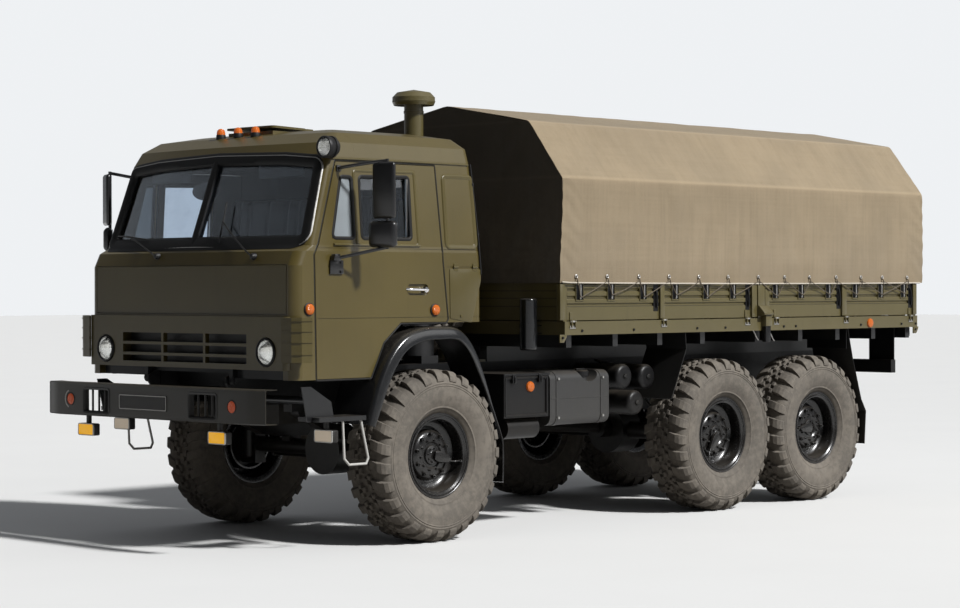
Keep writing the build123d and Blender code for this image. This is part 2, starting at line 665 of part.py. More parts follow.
def screen_cut():
    return both(long_prism(WINDSCREEN, 900, 1500))


def make_cab():
    wall = cab_skin(0, CAB_WALL) - side_grooves()
    wall -= block((-700, 1500), (-1300, 1300), (1100, CAB_SILL_Z))
    wall -= side_prism(ARCH, -1300, 1300)
    left_door = door_cut(SEAM) & wall
    left_door -= light_cut(QUARTER_LIGHT)
    left_door -= light_cut(DOOR_LIGHT)
    left_door -= rounded_panel(HANDLE_X, HANDLE_Z, 30) & cab_skin(-1, 18)
    write(left_door, "door_left")
    write(mirror(left_door, about=Plane.XZ), "door_right")
    shell = wall - both(door_cut(0))

    lid_slab = block((1385 - LID_DEPTH, 1500), (-LID_HALF, LID_HALF), LID_Z)
    lid = wall & block((1385 - LID_DEPTH, 1500), (-LID_HALF + SEAM, LID_HALF - SEAM),
                       (LID_Z[0] + SEAM, LID_Z[1] - SEAM))
    write(lid, "front_lid")
    shell -= block((1385 - LID_DEPTH - SEAM, 1500), (-LID_HALF, LID_HALF), LID_Z)
    shell -= screen_cut()
    shell -= block((1250, 1500), (-GRILLE_HALF, GRILLE_HALF), GRILLE_Z)
    shell -= both(rod((1250, LAMP_Y, LAMP_Z), (1500, LAMP_Y, LAMP_Z), LAMP_R + 4))
    shell -= block((HATCH_X[0] + 40, HATCH_X[1] - 40), (-HATCH_HALF + 40, HATCH_HALF - 40), (2900, 3100))

    floor_line = [(-420, CAB_FLOOR_Z), (362, CAB_FLOOR_Z), (533, 1463), (640, 1250), (1330, 1250)]
    floor = side_prism(floor_line + [(x, z + 40) for x, z in floor_line[::-1]], -1108, 1108)
    tunnel = block((362, 1330), (-490, 490), (1250, CAB_FLOOR_Z + 40))
    floor += tunnel
    floor -= block((340, 1300), (-460, 460), (1100, CAB_FLOOR_Z))
    floor -= both(door_cut(0)) - cab_solid(CAB_WALL + SEAM)
    shell -= block((1200, 1500), (-470, 470), (1100, 1285))
    shell -= block((1332, 1500), (-1040, 1040), (1100, 1285))
    floor &= cab_solid(CAB_WALL)
    floor -= block((1332, 1500), (-1040, 1040), (1100, 1285))
    floor += both(block((-360, -300), (RAIL_OUTER_Y + 28, RAIL_OUTER_Y + 68), (1540, 1630)))
    x, z = PIVOT
    lug = block((x - 60, x + 28), (RAIL_OUTER_Y + 28, RAIL_OUTER_Y + 68), (z, 1281))
    lug += rod((x, RAIL_OUTER_Y + 28, z), (x, RAIL_OUTER_Y + 68, z), 34)
    lug -= rod((x, RAIL_OUTER_Y, z), (x, RAIL_OUTER_Y + 90, z), 18.5)
    floor += both(lug)
    floor -= shell
    write(floor, "cab_floor")

    above = block((-700, 1500), (-1300, 1300), (ROOF_SEAM_Z, 3100))
    collar = block((HATCH_X[0] + 20, HATCH_X[1] - 20), (-HATCH_HALF + 20, HATCH_HALF - 20), (2960, 3005))
    collar -= block((HATCH_X[0] + 40, HATCH_X[1] - 40), (-HATCH_HALF + 40, HATCH_HALF - 40), (2900, 3100))
    roof = (shell & above) + collar
    for x in (HATCH_X[0] + 39.5, HATCH_X[1] - 40):  # panel joints at the hatchway's ends
        roof -= block((x, x + 0.5), (-1300, 1300), (ROOF_SEAM_Z - 10, 3100))
    write(roof, "cab_roof")
    shell -= above
    write(shell, "cab_shell")

    pane = cab_skin(27, 33)
    glass = (pane & light_cut(QUARTER_LIGHT)) + (pane & light_cut(DOOR_LIGHT))
    write(glass, "door_glass_left")
    write(mirror(glass, about=Plane.XZ), "door_glass_right")
    write(pane & screen_cut(), "windscreen")
    return shell, left_door


def make_front_panel(shell):
    mask = block((1365, 1422), (-1108, 1108), (1282, 1655))
    mask = fillet(mask.edges().filter_by(Axis.Z).group_by(Axis.X)[-1], 30)
    mask -= block((1300, 1385), (-GRILLE_HALF, GRILLE_HALF), GRILLE_Z)
    mask -= shell
    for z in GRILLE_ROWS:
        for y in (-475, 0, 475):
            mask -= block((1300, 1500), (y - 225, y + 225), z)
    mask -= both(rod((1300, LAMP_Y, LAMP_Z), (1500, LAMP_Y, LAMP_Z), LAMP_R + 4))
    write(mask + deflectors(shell), "front_grille")


def deflectors(shell):
    """Louvred wings round the cab's front corners."""
    outer = [(1440, 1085), (1428, 1180), (1388, 1242), (1318, 1272)]
    inner = [(1308, 1260), (1376, 1232), (1413, 1174), (1425, 1085)]
    vane = plan_prism(outer + inner, 1340, 1650)
    for z in VANE_Z:
        vane += plan_prism([(1446, 1085), (1434, 1183), (1391, 1248), (1318, 1278), (1308, 1260),
                            (1290, 1150)],
                           z, z + 6)
    mask = block((1300, 1422), (-1108, 1108), (1270, 1655))
    return both(vane - mask) - shell


def make_head_lamps():
    profile = [(0, 1300), (88, 1300), (LAMP_R, 1360), (LAMP_R, 1428), (84, 1440), (0, 1450)]
    face = make_face(Polyline(*[(ahead(x), r) for r, x in profile], close=True))
    lamp = Pos(0, LAMP_Y, LAMP_Z) * revolve(face, Axis.X)
    write(both(lamp), "head_lamps")


# Roof lamp table: distance ahead, y, foot height, radius, height
ROOF_LAMPS = [(900, -195, 2950, 36, 85), (900, 0, 2950, 36, 85), (900, 195, 2950, 36, 85),
              (868, -870, 2905, 32, 58), (868, 870, 2905, 32, 58)]
SEARCHLIGHT = [(965, 0), (968, 30), (985, 58), (1020, 72), (1072, 78), (1088, 78), (1100, 66), (1106, 0)]


def make_roof_lamps(shell):
    lamps = Part()
    for x, y, z, radius, height in ROOF_LAMPS:
        lamp = rod((x, y, z), (x, y, z + height), radius)
        lamps += fillet(lamp.edges().filter_by(GeomType.CIRCLE).sort_by(Axis.Z)[-1], radius * 0.6)
    bowl = make_face(Polyline(*[(ahead(x), r) for x, r in SEARCHLIGHT], close=True))
    spot = Pos(0, 1140, 2836) * revolve(bowl, Axis.X)
    spot += rod((1010, 1090, 2770), (1010, 1120, 2790), 16)
    write((lamps + spot) - cab_solid(0), "roof_lamps")


HATCH_TILT = 1.8
HATCH_HINGE = (HATCH_X[0], 3022)


def make_hatch():
    lid = block(HATCH_X, (-HATCH_HALF, HATCH_HALF), (3014, 3028))
    lid = fillet(lid.edges().filter_by(Axis.Z), 40)
    pan = block((HATCH_X[0] + 45, HATCH_X[1] - 45), (-HATCH_HALF + 45, HATCH_HALF - 45), (3028, 3036))
    lid += fillet(pan.edges().filter_by(Axis.Z), 30)
    x, z = ahead(HATCH_HINGE[0]), HATCH_HINGE[1]
    write(Pos(x, 0, z) * Rot(0, -HATCH_TILT, 0) * Pos(-x, 0, -z) * lid, "roof_hatch")


def make_mirrors(door):
    for side, x, y in (("left", 760, 1400), ("right", 1040, 1400)):
        large = block((x - 25, x + 25), (y - 100, y + 100), (2335, 2735))
        small = block((x - 25, x + 25), (y - 100, y + 100), (2145, 2310))
        heads = fillet(large.edges().filter_by(Axis.X), 30) + fillet(small.edges().filter_by(Axis.X), 30)
        stalk = rod((x - 32, y, 2120), (x - 32, y, 2760), 11)
        arms = bent_rod([(x - 32, y, 2740), (935, 1190, 2700), (925, 1090, 2690)], 11)
        arms += bent_rod([(x - 32, y, 2135), (1010, 1215, 2060), (1010, 1130, 2060)], 11)
        mirror_part = heads + stalk + arms - door
        if side == "right":
            mirror_part = mirror(mirror_part, about=Plane.XZ)
        write(mirror_part, f"mirror_{side}")


WHEEL_CENTRE = (930, 600, 2080)
COLUMN_TILT = 28


def column_plane():
    tilt = math.radians(COLUMN_TILT)
    x, y, z = WHEEL_CENTRE
    return Plane(origin=(ahead(x), y, z), x_dir=(0, 1, 0), z_dir=(-math.sin(tilt), 0, math.cos(tilt)))


def make_interior(shell):
    turns = [math.radians(60 * k) for k in range(6)]
    rim_points = [(235 + 15 * math.cos(a), 15 * math.sin(a)) for a in turns]
    rim = revolve(Plane.XZ * make_face(Polyline(*rim_points, close=True)), Axis.Z)
    spokes = Part()
    for turn in (0, 120, 240):
        spokes += Rot(0, 0, turn) * Pos(125, 0, -6) * Box(225, 26, 10)
    hub = Pos(0, 0, -12) * Cylinder(42, 40)
    write(column_plane() * (rim + spokes + hub), "steering_wheel")

    dash = side_prism([(1345, 1760), (1345, 2108), (1130, 2118), (1040, 2030), (1040, 1930), (1160, 1760)],
                      -1095, 1095)
    column = column_plane() * Pos(0, 0, -38) * extrude(Circle(38), -300)
    write((dash & cab_solid(CAB_WALL)) - shell + (column & cab_solid(CAB_WALL)), "dashboard")

    seats = Part()
    for low, high in ((360, 880), (-1000, -60)):
        seats += block((150, 640), (low, high), (1860, 1985))
        seats += block((160, 620), (low + 30, high - 30), (CAB_FLOOR_Z + 40, 1860))
        back = side_prism([(80, 1960), (180, 1960), (140, 2560), (60, 2560)], low, high)
        seats += back
    bunk = block((-415, 20), (-1090, 1090), (1960, 2060))
    bunk += block((-400, 0), (-1080, 1080), (CAB_FLOOR_Z + 40, 1960))
    write((seats + bunk) & cab_solid(CAB_WALL), "cab_seats")


def main():
    os.makedirs("parts", exist_ok=True)
    make_wheels()
    make_front_axle()
    make_knuckles()
    make_tie_rod()
    make_rear_axles()
    make_frame()
    make_springs()
    make_power_train()
    make_bumper()
    make_tanks()
    make_battery_box()
    make_canister()
    make_air_tanks()
    make_silencer()
    make_air_intake()
    make_spare()
    make_fenders()
    make_bed_frame()
    make_boards()
    make_tailgate()
    make_cover()
    make_cover_frame()
    make_benches()
    make_mudguards()
    make_underrun()
    make_tow_hook()
    make_chassis_lamps()
    shell, door = make_cab()
    make_front_panel(shell)
    make_head_lamps()
    make_roof_lamps(shell)
    make_hatch()
    make_mirrors(door)
    make_interior(shell)


main()
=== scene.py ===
"""Looks of a six-wheel-drive cargo truck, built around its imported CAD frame. Lengths in settings are metres."""

import contextlib
import functools
import json
import math
import operator
import random

import bpy
from mathutils import Matrix, Vector, noise

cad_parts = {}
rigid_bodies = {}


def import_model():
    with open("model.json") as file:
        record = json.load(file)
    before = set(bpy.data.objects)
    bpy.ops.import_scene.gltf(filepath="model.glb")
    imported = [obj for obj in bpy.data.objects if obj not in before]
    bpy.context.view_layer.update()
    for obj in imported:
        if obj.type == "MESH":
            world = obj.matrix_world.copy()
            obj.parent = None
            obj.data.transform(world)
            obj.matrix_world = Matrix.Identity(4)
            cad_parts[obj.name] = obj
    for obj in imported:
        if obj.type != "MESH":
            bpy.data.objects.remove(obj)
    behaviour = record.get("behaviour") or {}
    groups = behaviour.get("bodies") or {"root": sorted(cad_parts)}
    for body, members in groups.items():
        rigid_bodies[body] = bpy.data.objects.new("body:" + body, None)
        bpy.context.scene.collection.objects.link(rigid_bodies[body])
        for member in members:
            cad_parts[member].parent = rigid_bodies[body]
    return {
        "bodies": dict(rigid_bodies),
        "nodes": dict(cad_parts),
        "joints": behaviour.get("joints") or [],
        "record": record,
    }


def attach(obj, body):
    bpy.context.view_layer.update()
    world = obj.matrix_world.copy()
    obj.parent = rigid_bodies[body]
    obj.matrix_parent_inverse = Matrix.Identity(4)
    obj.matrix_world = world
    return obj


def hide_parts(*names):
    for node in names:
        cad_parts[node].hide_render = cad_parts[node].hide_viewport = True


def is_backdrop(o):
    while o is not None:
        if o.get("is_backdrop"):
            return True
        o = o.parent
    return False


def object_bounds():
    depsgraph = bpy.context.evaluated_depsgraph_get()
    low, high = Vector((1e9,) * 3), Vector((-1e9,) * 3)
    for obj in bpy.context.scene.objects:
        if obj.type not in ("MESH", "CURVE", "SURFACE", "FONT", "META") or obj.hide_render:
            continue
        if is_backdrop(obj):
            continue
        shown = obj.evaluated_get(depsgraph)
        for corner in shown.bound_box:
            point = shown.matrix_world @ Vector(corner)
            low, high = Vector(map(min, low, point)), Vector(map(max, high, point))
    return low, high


bl_info = {"name": "Six-wheel Cargo Truck", "version": (1, 0, 0), "blender": (4, 5, 0),
    "location": "View3D > Sidebar > Cargo Truck",
    "description": "Adds surfaces, tyres, cloth and fittings to the cargo truck's CAD frame",
    "category": "Object",}

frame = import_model()
cad_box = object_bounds()

FRONT_AXLE = 2.24
AXLES = {"front": 0.0, "middle": -3.34, "rear": -4.66}
WHEEL_Y, AXLE_Z = 1.025, 0.63
SIDES = {"left": 1, "right": -1}


def at(ahead, y, z):
    """A point of the frame from its distance ahead of the front axle."""
    return Vector((FRONT_AXLE + ahead, y, z))


# Modelling helpers


def clear():
    if bpy.context.object and bpy.context.object.mode != "OBJECT":
        bpy.ops.object.mode_set(mode="OBJECT")
    bpy.ops.object.select_all(action="DESELECT")


def only(*objs):
    clear()
    for obj in objs:
        obj.select_set(True)
    bpy.context.view_layer.objects.active = objs[0]


def named(name):
    obj = bpy.context.object
    obj.name = obj.data.name = name
    return obj


def settle(obj):
    """Puts an object's place, turn and size into its mesh."""
    only(obj)
    bpy.ops.object.transform_apply(location=True, rotation=True, scale=True)
    return obj


def modify(obj, kind, **values):
    only(obj)
    modifier = obj.modifiers.new(kind.lower(), kind)
    for key, value in values.items():
        setattr(modifier, key, value)
    bpy.ops.object.modifier_apply(modifier=modifier.name)
    return obj


def rounded(obj, width, steps=2, angle=30):
    return modify(obj, "BEVEL", width=width, segments=steps, limit_method="ANGLE",
        angle_limit=math.radians(angle))


def smooth(obj, angle=35):
    only(obj)
    bpy.ops.object.shade_smooth_by_angle(angle=math.radians(angle))
    return obj


@contextlib.contextmanager
def editing(obj):
    """Edit mode with all of a mesh selected; at the end its faces are turned outwards."""
    only(obj)
    bpy.ops.object.mode_set(mode="EDIT")
    bpy.ops.mesh.select_all(action="SELECT")
    yield
    bpy.ops.mesh.select_all(action="SELECT")
    bpy.ops.mesh.normals_make_consistent(inside=False)
    bpy.ops.object.mode_set(mode="OBJECT")


def closed_up(obj, capped=True):
    """Merges the seam of a swept grid and caps its open ends."""
    with editing(obj):
        bpy.ops.mesh.remove_doubles(threshold=1e-5)
        if capped:
            bpy.ops.mesh.fill_holes(sides=0)
    return obj


def block(name, corner, other, edge=0.0, steps=2):
    """A block between two opposite corners, bevelled if an edge width is given."""
    clear()
    low, high = Vector([*map(min, corner, other)]), Vector([*map(max, corner, other)])
    bpy.ops.mesh.primitive_cube_add(size=1, location=(low + high) / 2)
    obj = named(name)
    obj.scale = high - low
    settle(obj)
    return rounded(obj, edge, steps) if edge else obj


def brick(name, ahead, y, half, z, edge=0.0, steps=2):
    """A block that reaches as far to either side of y."""
    return block(name, at(ahead[0], y - half, z[0]), at(ahead[1], y + half, z[1]), edge, steps)


def outline(name, points, fill="NGON"):
    """A flat closed loop: a circle whose corners are moved to the points."""
    clear()
    bpy.ops.mesh.primitive_circle_add(vertices=len(points), fill_type=fill)
    obj = named(name)
    for vertex, point in zip(obj.data.vertices, points):
        vertex.co = point
    return obj


def prism(name, points, along, edge=0.0, steps=2):
    obj = outline(name, points)
    with editing(obj):
        bpy.ops.mesh.extrude_region_move(TRANSFORM_OT_translate={"value": along})
    return rounded(obj, edge, steps) if edge else obj


def turned(name, profile, centre, axis="Y", steps=64, sign=1):
    """A closed (radius, height) profile spun about an axis through the centre; a sign of -1 turns it over."""
    along = sign * Vector([float(letter == axis) for letter in "XYZ"])
    out = Vector((0, 0, 1) if axis == "X" else (1, 0, 0))
    centre = Vector(centre)
    obj = outline(name, [centre + out * r + along * h for r, h in profile], "NOTHING")
    with editing(obj):
        bpy.ops.mesh.spin(steps=steps, angle=math.tau, center=centre, axis=along)
        bpy.ops.mesh.select_all(action="SELECT")
        bpy.ops.mesh.remove_doubles(threshold=1e-5)
        bpy.ops.mesh.dissolve_degenerate()
    return obj


def tube(name, points, radius, sides=4, round_corners=True, closed=False):
    """A round bar along a path, from a curve turned into a mesh."""
    clear()
    bpy.ops.curve.primitive_nurbs_path_add()
    obj = named(name)
    curve = obj.data
    curve.splines.clear()
    spline = curve.splines.new("NURBS" if round_corners else "POLY")
    spline.points.add(len(points) - 1)
    for point, place in zip(spline.points, points):
        point.co = (*place, 1)
    if round_corners:
        spline.order_u = 3
        spline.use_endpoint_u = not closed
        spline.resolution_u = 6
    spline.use_cyclic_u = closed
    curve.bevel_depth = radius
    curve.bevel_resolution = sides
    curve.use_fill_caps = not closed
    only(obj)
    bpy.ops.object.convert(target="MESH")
    obj = bpy.context.object
    obj.name = obj.data.name = name
    return smooth(obj, 50)


def twin(obj, name, matrix):
    """A copy with a mesh of its own, put elsewhere."""
    copy = obj.copy()
    copy.data = obj.data.copy()
    copy.name = copy.data.name = name
    bpy.context.scene.collection.objects.link(copy)
    copy.data.transform(matrix)
    if matrix.determinant() < 0:
        copy.data.flip_normals()
    return copy


def mirrored(obj, name):
    return twin(obj, name, Matrix.Diagonal((1, -1, 1, 1)))


def merged(name, objs):
    only(*objs)
    if len(objs) > 1:
        bpy.ops.object.join()
    return named(name)


def both_sides(name, obj):
    return merged(name, [obj, mirrored(obj, name + "_far")])


def fitted(obj, body, finish, *stands_for, slot=None):
    """Gives a finished piece its material and its body, and hides the CAD nodes it stands for; the slot it works
    out is not kept.
    """
    obj.data.materials.clear()
    obj.data.materials.append(finish_of(finish))
    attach(obj, body)
    slot = slot or SLOT_OF.get(finish)
    if stands_for:
        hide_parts(*stands_for)
    return obj


def joined(name, parts, body, finish, *stands_for, angle=35, slot=None):
    """Joins parts into one smooth piece and fits it."""
    return fitted(smooth(merged(name, parts), angle), body, finish, *stands_for, slot=slot)


# Shader building blocks

CREASE_Z, EAVE_Z = 2.704, 3.15  # where the cover folds over its bows
ROAD_DUST = (0.25, 0.21, 0.16, 1)


class Signal:
    """A shader output that is reckoned with like a number; each step adds a math node."""

    def __init__(self, nodes, socket):
        self.nodes, self.socket = nodes, socket

    def reckoned(self, operation, other=0.0, clamp=False):
        return self.nodes.add("Math", {"operation": operation, "use_clamp": clamp}, {0: self, 1: other})[0]

    def __add__(self, other):
        return self.reckoned("ADD", other)

    def __sub__(self, other):
        return self.reckoned("SUBTRACT", other)

    def __mul__(self, other):
        return self.reckoned("MULTIPLY", other)

    def __lt__(self, limit):
        return self.reckoned("LESS_THAN", limit)

    def __gt__(self, limit):
        return self.reckoned("GREATER_THAN", limit)

    def __or__(self, other):
        return self.reckoned("MAXIMUM", other)

    def __abs__(self):
        return self.reckoned("ABSOLUTE")


class Nodes:
    """Adds nodes to a shader tree and gives their outputs back as signals, by number and by name."""

    def __init__(self, tree):
        self.tree = tree

    def feed(self, sockets, values):
        for key, value in values.items():
            if isinstance(value, Signal):
                self.tree.links.new(value.socket, sockets[key])
            else:
                sockets[key].default_value = value

    def add(self, kind, settings=None, sockets=None):
        made = self.tree.nodes.new("ShaderNode" + kind)
        for key, value in (settings or {}).items():
            setattr(made, key, value)
        self.feed(made.inputs, sockets or {})
        return self.signals(made)

    def signals(self, made):
        numbered = list(enumerate(made.outputs))
        return {key: Signal(self, out) for number, out in numbered for key in (out.name, number)}

    def place(self, kind="Object"):
        return self.add("TexCoord")[kind]

    def split(self, vector):
        """The three numbers of a vector."""
        parts = self.add("SeparateXYZ", None, {0: vector})
        return parts[0], parts[1], parts[2]

    def stretched(self, place, scale):
        return self.add("Mapping", None, {"Vector": place, "Scale": scale})[0]

    def noise(self, place, scale, detail=4.0, roughness=0.55):
        sockets = {"Vector": place, "Scale": scale, "Detail": detail, "Roughness": roughness}
        return self.add("TexNoise", None, sockets)[0]

    def ranged(self, value, low, high, to_low=0.0, to_high=1.0):
        sockets = {0: value, 1: low, 2: high, 3: to_low, 4: to_high}
        return self.add("MapRange", {"interpolation_type": "SMOOTHSTEP"}, sockets)[0]

    def mix(self, factor, a, b, blend="MIX"):
        return self.add("Mix", {"data_type": "RGBA", "blend_type": blend}, {0: factor, 6: a, 7: b})[2]

    def mix_value(self, factor, a, b):
        return self.add("Mix", {"data_type": "FLOAT"}, {0: factor, 2: a, 3: b})[0]

    def group(self, build, **values):
        """Places a node group with its own values in this tree."""
        named_values = {key.replace("_", " ").title(): value for key, value in values.items()}
        return self.add("Group", {"node_tree": build()}, named_values)

    def takes(self, **defaults):
        """Gives a group its inputs, colours and numbers, and returns them as signals."""
        for key, default in defaults.items():
            kind = "Color" if isinstance(default, tuple) else "Float"
            socket = self.tree.interface.new_socket(name=key.replace("_", " ").title(), in_out="INPUT",
                socket_type="NodeSocket" + kind)
            socket.default_value = default
        return self.signals(self.tree.nodes.new("NodeGroupInput"))

    def returns(self, **values):
        """Gives a group its outputs, and returns the group."""
        for label in values:
            self.tree.interface.new_socket(name=label, in_out="OUTPUT",
                socket_type="NodeSocket" + ("Color" if label == "Color" else "Float"))
        self.feed(self.tree.nodes.new("NodeGroupOutput").inputs, values)
        return self.tree

    def surface(self, values):
        """Feeds the material's Principled shader."""
        self.feed(self.tree.nodes["Principled BSDF"].inputs, values)

    def bumped(self, height, strength, distance):
        self.surface({"Normal": self.add("Bump", None, {"Height": height, "Strength": strength,
            "Distance": distance})[0]})


def new_group(name):
    return Nodes(bpy.data.node_groups.new(name, "ShaderNodeTree"))


@functools.cache
def dust_group():
    """Paint that is mottled, streaked and dusty low down and on level faces."""
    nodes = new_group("road dust")
    given = nodes.takes(color=(0.1, 0.1, 0.05, 1), dust_color=ROAD_DUST, mottle=0.2, dust=0.5, top_dust=0.2,
        low=0.4, high=1.8, gloss_roughness=0.35)
    place = nodes.place()
    wide = nodes.noise(place, 1.7)
    fine = nodes.noise(place, 23.0, 6.0, 0.65)
    runs = nodes.noise(nodes.stretched(place, (14.0, 14.0, 1.3)), 1.0, 5.0, 0.6)
    height = nodes.split(place)[2]
    level = nodes.split(nodes.add("NewGeometry")["Normal"])[2]
    darker = nodes.mix(1.0, given["Color"], (0.62, 0.62, 0.6, 1), "MULTIPLY")
    paint = nodes.mix(nodes.ranged(wide, 0.35, 0.68) * given["Mottle"], given["Color"], darker)
    paint = nodes.mix(nodes.ranged(runs, 0.5, 0.8) * given["Mottle"], paint, darker)
    lower = nodes.ranged(height, given["High"], given["Low"])
    broken = nodes.ranged(fine * 0.6 + wide * 0.5, 0.42, 0.66)
    low_dust = lower * given["Dust"] * nodes.mix_value(0.55, broken, 1.0)
    top_dust = nodes.ranged(level, 0.3, 0.95) * given["Top Dust"] * nodes.mix_value(0.4, broken, 1.0)
    dusty = low_dust.reckoned("MAXIMUM", top_dust, True)
    rough = given["Gloss Roughness"] + fine * 0.1
    return nodes.returns(Color=nodes.mix(dusty, paint, given["Dust Color"]),
        Roughness=nodes.mix_value(dusty, rough, 0.92), Mask=dusty)


@functools.cache
def wear_group():
    """Small chips and scratches as a mask."""
    nodes = new_group("paint wear")
    given = nodes.takes(amount=0.3, scale=40.0)
    place = nodes.place()
    spots = nodes.noise(place, given["Scale"], 8.0, 0.75)
    zones = nodes.ranged(nodes.noise(place, 3.1, 3.0), 0.48, 0.62)
    return nodes.returns(Mask=(spots > nodes.mix_value(given["Amount"], 0.8, 0.6)) * zones)


@functools.cache
def surface_group():
    """Height of fine orange peel or casting grain with slow dents."""
    nodes = new_group("sheet surface")
    given = nodes.takes(grain_scale=350.0, grain=0.3, dents=0.4)
    place = nodes.place()
    return nodes.returns(Height=nodes.noise(place, given["Grain Scale"],
        2.0) * given["Grain"] + nodes.noise(place, 2.4, 2.0, 0.4) * given["Dents"])


@functools.cache
def weave_group():
    """Coarse plain weave as a height, with soft creases and drawn streaks."""
    nodes = new_group("canvas weave")
    given = nodes.takes(threads=420.0, creases=0.4)
    place = nodes.place("UV")
    lengthwise, across = (nodes.noise(nodes.stretched(place, scale), 1.0, 4.0, 0.62)
        for scale in ((34.0, 1.1, 1.0), (0.8, 30.0, 1.0)))
    wave = {"Scale": given["Threads"], "Vector": place, "Distortion": 0.4, "Detail": 1.0}
    warp, weft = (nodes.add("TexWave", {"bands_direction": way}, wave)[1] for way in "XY")
    crease = nodes.noise(nodes.stretched(place, (3.0, 1.2, 1.0)), 2.2, 6.0, 0.62)
    return nodes.returns(Height=(warp + weft) * 0.12 + abs(crease - 0.5) * given["Creases"], Mask=crease,
        Streaks=nodes.ranged(lengthwise + across * 0.7, 0.78, 1.02))


def base_material(name):
    material = bpy.data.materials.new(name)
    material.use_nodes = True
    return material, Nodes(material.node_tree)


def painted(name, colour, gloss=0.35, dust=0.5, top=0.15, low=0.4, high=1.8, mottle=0.3, chips=0.25, coat=0.0,
        grain=0.25, dents=0.5, shine=0.5, black_below=None, grooves=(), inside=None):
    """Sprayed or moulded stuff under dust; inside says where another colour stands, and which."""
    material, nodes = base_material(name)
    dusty = nodes.group(dust_group, color=(*colour, 1), dust_color=ROAD_DUST, mottle=mottle, dust=dust,
        top_dust=top, low=low, high=high, gloss_roughness=gloss)
    shade = nodes.mix(nodes.group(wear_group, amount=chips)["Mask"], dusty["Color"], (0.06, 0.045, 0.035, 1))
    rough = dusty["Roughness"]
    x, y, z = nodes.split(nodes.place())
    # Near black below a height: on the intake's stack this is painted shade behind the cab; on the bed frame it
    # is the frame below the bed floor.
    if black_below:
        shade = nodes.mix(z < black_below, shade, (0.006, 0.006, 0.0065, 1))
    # Painted shade: a darker line at each groove's height, where the grooves' shade falls.
    for line in grooves:
        shade = nodes.mix(nodes.ranged(abs(z - line), 0.006, 0.003) * 0.6, shade, (0.012, 0.011, 0.006, 1))
    if inside:
        within, other, other_rough = inside(x, abs(y), z)
        shade = nodes.mix(within, shade, other)
        rough = nodes.mix_value(within, rough, other_rough) if other_rough else rough
    nodes.surface({"Base Color": shade, "Roughness": rough, "Specular IOR Level": shine, "Coat Weight": coat,
        "Coat Roughness": 0.18})
    nodes.bumped(nodes.group(surface_group, grain=grain, dents=dents)["Height"], 0.35, 0.004)
    return material


def box_mask(below, above):
    """1 where each first value is below its limit and each second one above."""
    tests = [value < limit for value, limit in below] + [value > limit for value, limit in above]
    return functools.reduce(operator.mul, tests)


def cab_trim(x, wide, z):
    """The cab's near-black parts, told apart from its olive outside by how far in a point lies: painted shade
    over the cab's inside and ceiling, near black low on the front under the grille, and the windscreen's black
    middle bar.
    """
    above = (z - 2.15) | 0.0
    lean = x + (above * 0.373 + wide * wide * 0.09)
    room = box_mask(((lean, FRONT_AXLE + 1.263), (wide + above * 0.075, 1.107), (z, 2.86)),
        ((x, FRONT_AXLE - 0.385), (z, 1.61)))
    ceiling = box_mask(((x, FRONT_AXLE + 0.84), (wide, 0.9), (z, 2.944)), ((x, FRONT_AXLE - 0.34), (z, 2.8)))
    mullion = box_mask(((wide, 0.06), (z, 2.8)), ((x, FRONT_AXLE + 0.85), (z, 2.14)))
    sill = box_mask(((wide, 1.03), (z, 1.276)), ((x, FRONT_AXLE + 1.2), (z, 1.0)))
    return (room | ceiling) | (mullion | sill), (0.005, 0.0055, 0.007, 1), 0.75


def step_loops(x, wide, z):
    """The bare metal loops that hang from the black step brackets."""
    return box_mask(((z, 0.924),), ((wide, 1.2), (x, FRONT_AXLE + 0.7))), (0.52, 0.51, 0.48, 1), None


def canvas_material(name, colour):
    material, nodes = base_material(name)

    def toned(red, green, blue):
        return (colour[0] * red, colour[1] * green, colour[2] * blue, 1)

    weave = nodes.group(weave_group)
    dusty = nodes.group(dust_group, color=(*colour, 1), mottle=0.35, dust=0.25, top_dust=0.3, low=1.8, high=2.9,
        gloss_roughness=0.9, dust_color=(0.33, 0.28, 0.21, 1))
    height = nodes.split(nodes.place())[2]
    # Layers over the dusty canvas: darker patches, drawn streaks, lighter bands on the crease and the eave that
    # are painted highlight where the cloth turns over its bows, and darker towards the hem.
    layers = [(nodes.ranged(weave["Mask"], 0.35, 0.75) * 0.22, toned(0.55, 0.55, 0.5)),
        (weave["Streaks"] * 0.2, toned(0.62, 0.6, 0.55)), (nodes.ranged(abs(height - CREASE_Z), 0.022,
        0.0) * 0.35, toned(1.5, 1.5, 1.55)), (nodes.ranged(abs(height - EAVE_Z), 0.016, 0.0) * 0.35,
        toned(1.5, 1.5, 1.55)), (nodes.ranged(height, 2.12, 1.9) * 0.22, toned(0.5, 0.47, 0.42))]
    cloth = dusty["Color"]
    for share, tone in layers:
        cloth = nodes.mix(share, cloth, tone)
    nodes.surface({"Base Color": cloth, "Roughness": 0.93, "Sheen Weight": 0.15, "Sheen Roughness": 0.5})
    nodes.bumped(weave["Height"], 0.5, 0.006)
    return material


def tyre_material():
    """Black rubber under grey-brown dust, cleaner where the tread is worn."""
    material, nodes = base_material("dusty tyre")
    dusty = nodes.group(dust_group, color=(0.035, 0.033, 0.03, 1), mottle=0.4, dust=0.75, top_dust=0.1, low=1.0,
        high=3.2, gloss_roughness=0.7, dust_color=(0.235, 0.205, 0.168, 1))
    blotch = nodes.ranged(nodes.noise(nodes.place(), 7.0, 5.0, 0.6), 0.35, 0.7)
    nodes.surface({"Base Color": nodes.mix(blotch * 0.35, dusty["Color"], (0.1, 0.09, 0.078, 1)),
        "Roughness": 0.88})
    nodes.bumped(nodes.group(surface_group, grain_scale=160.0, grain=0.6, dents=0.3)["Height"], 0.5, 0.004)
    return material


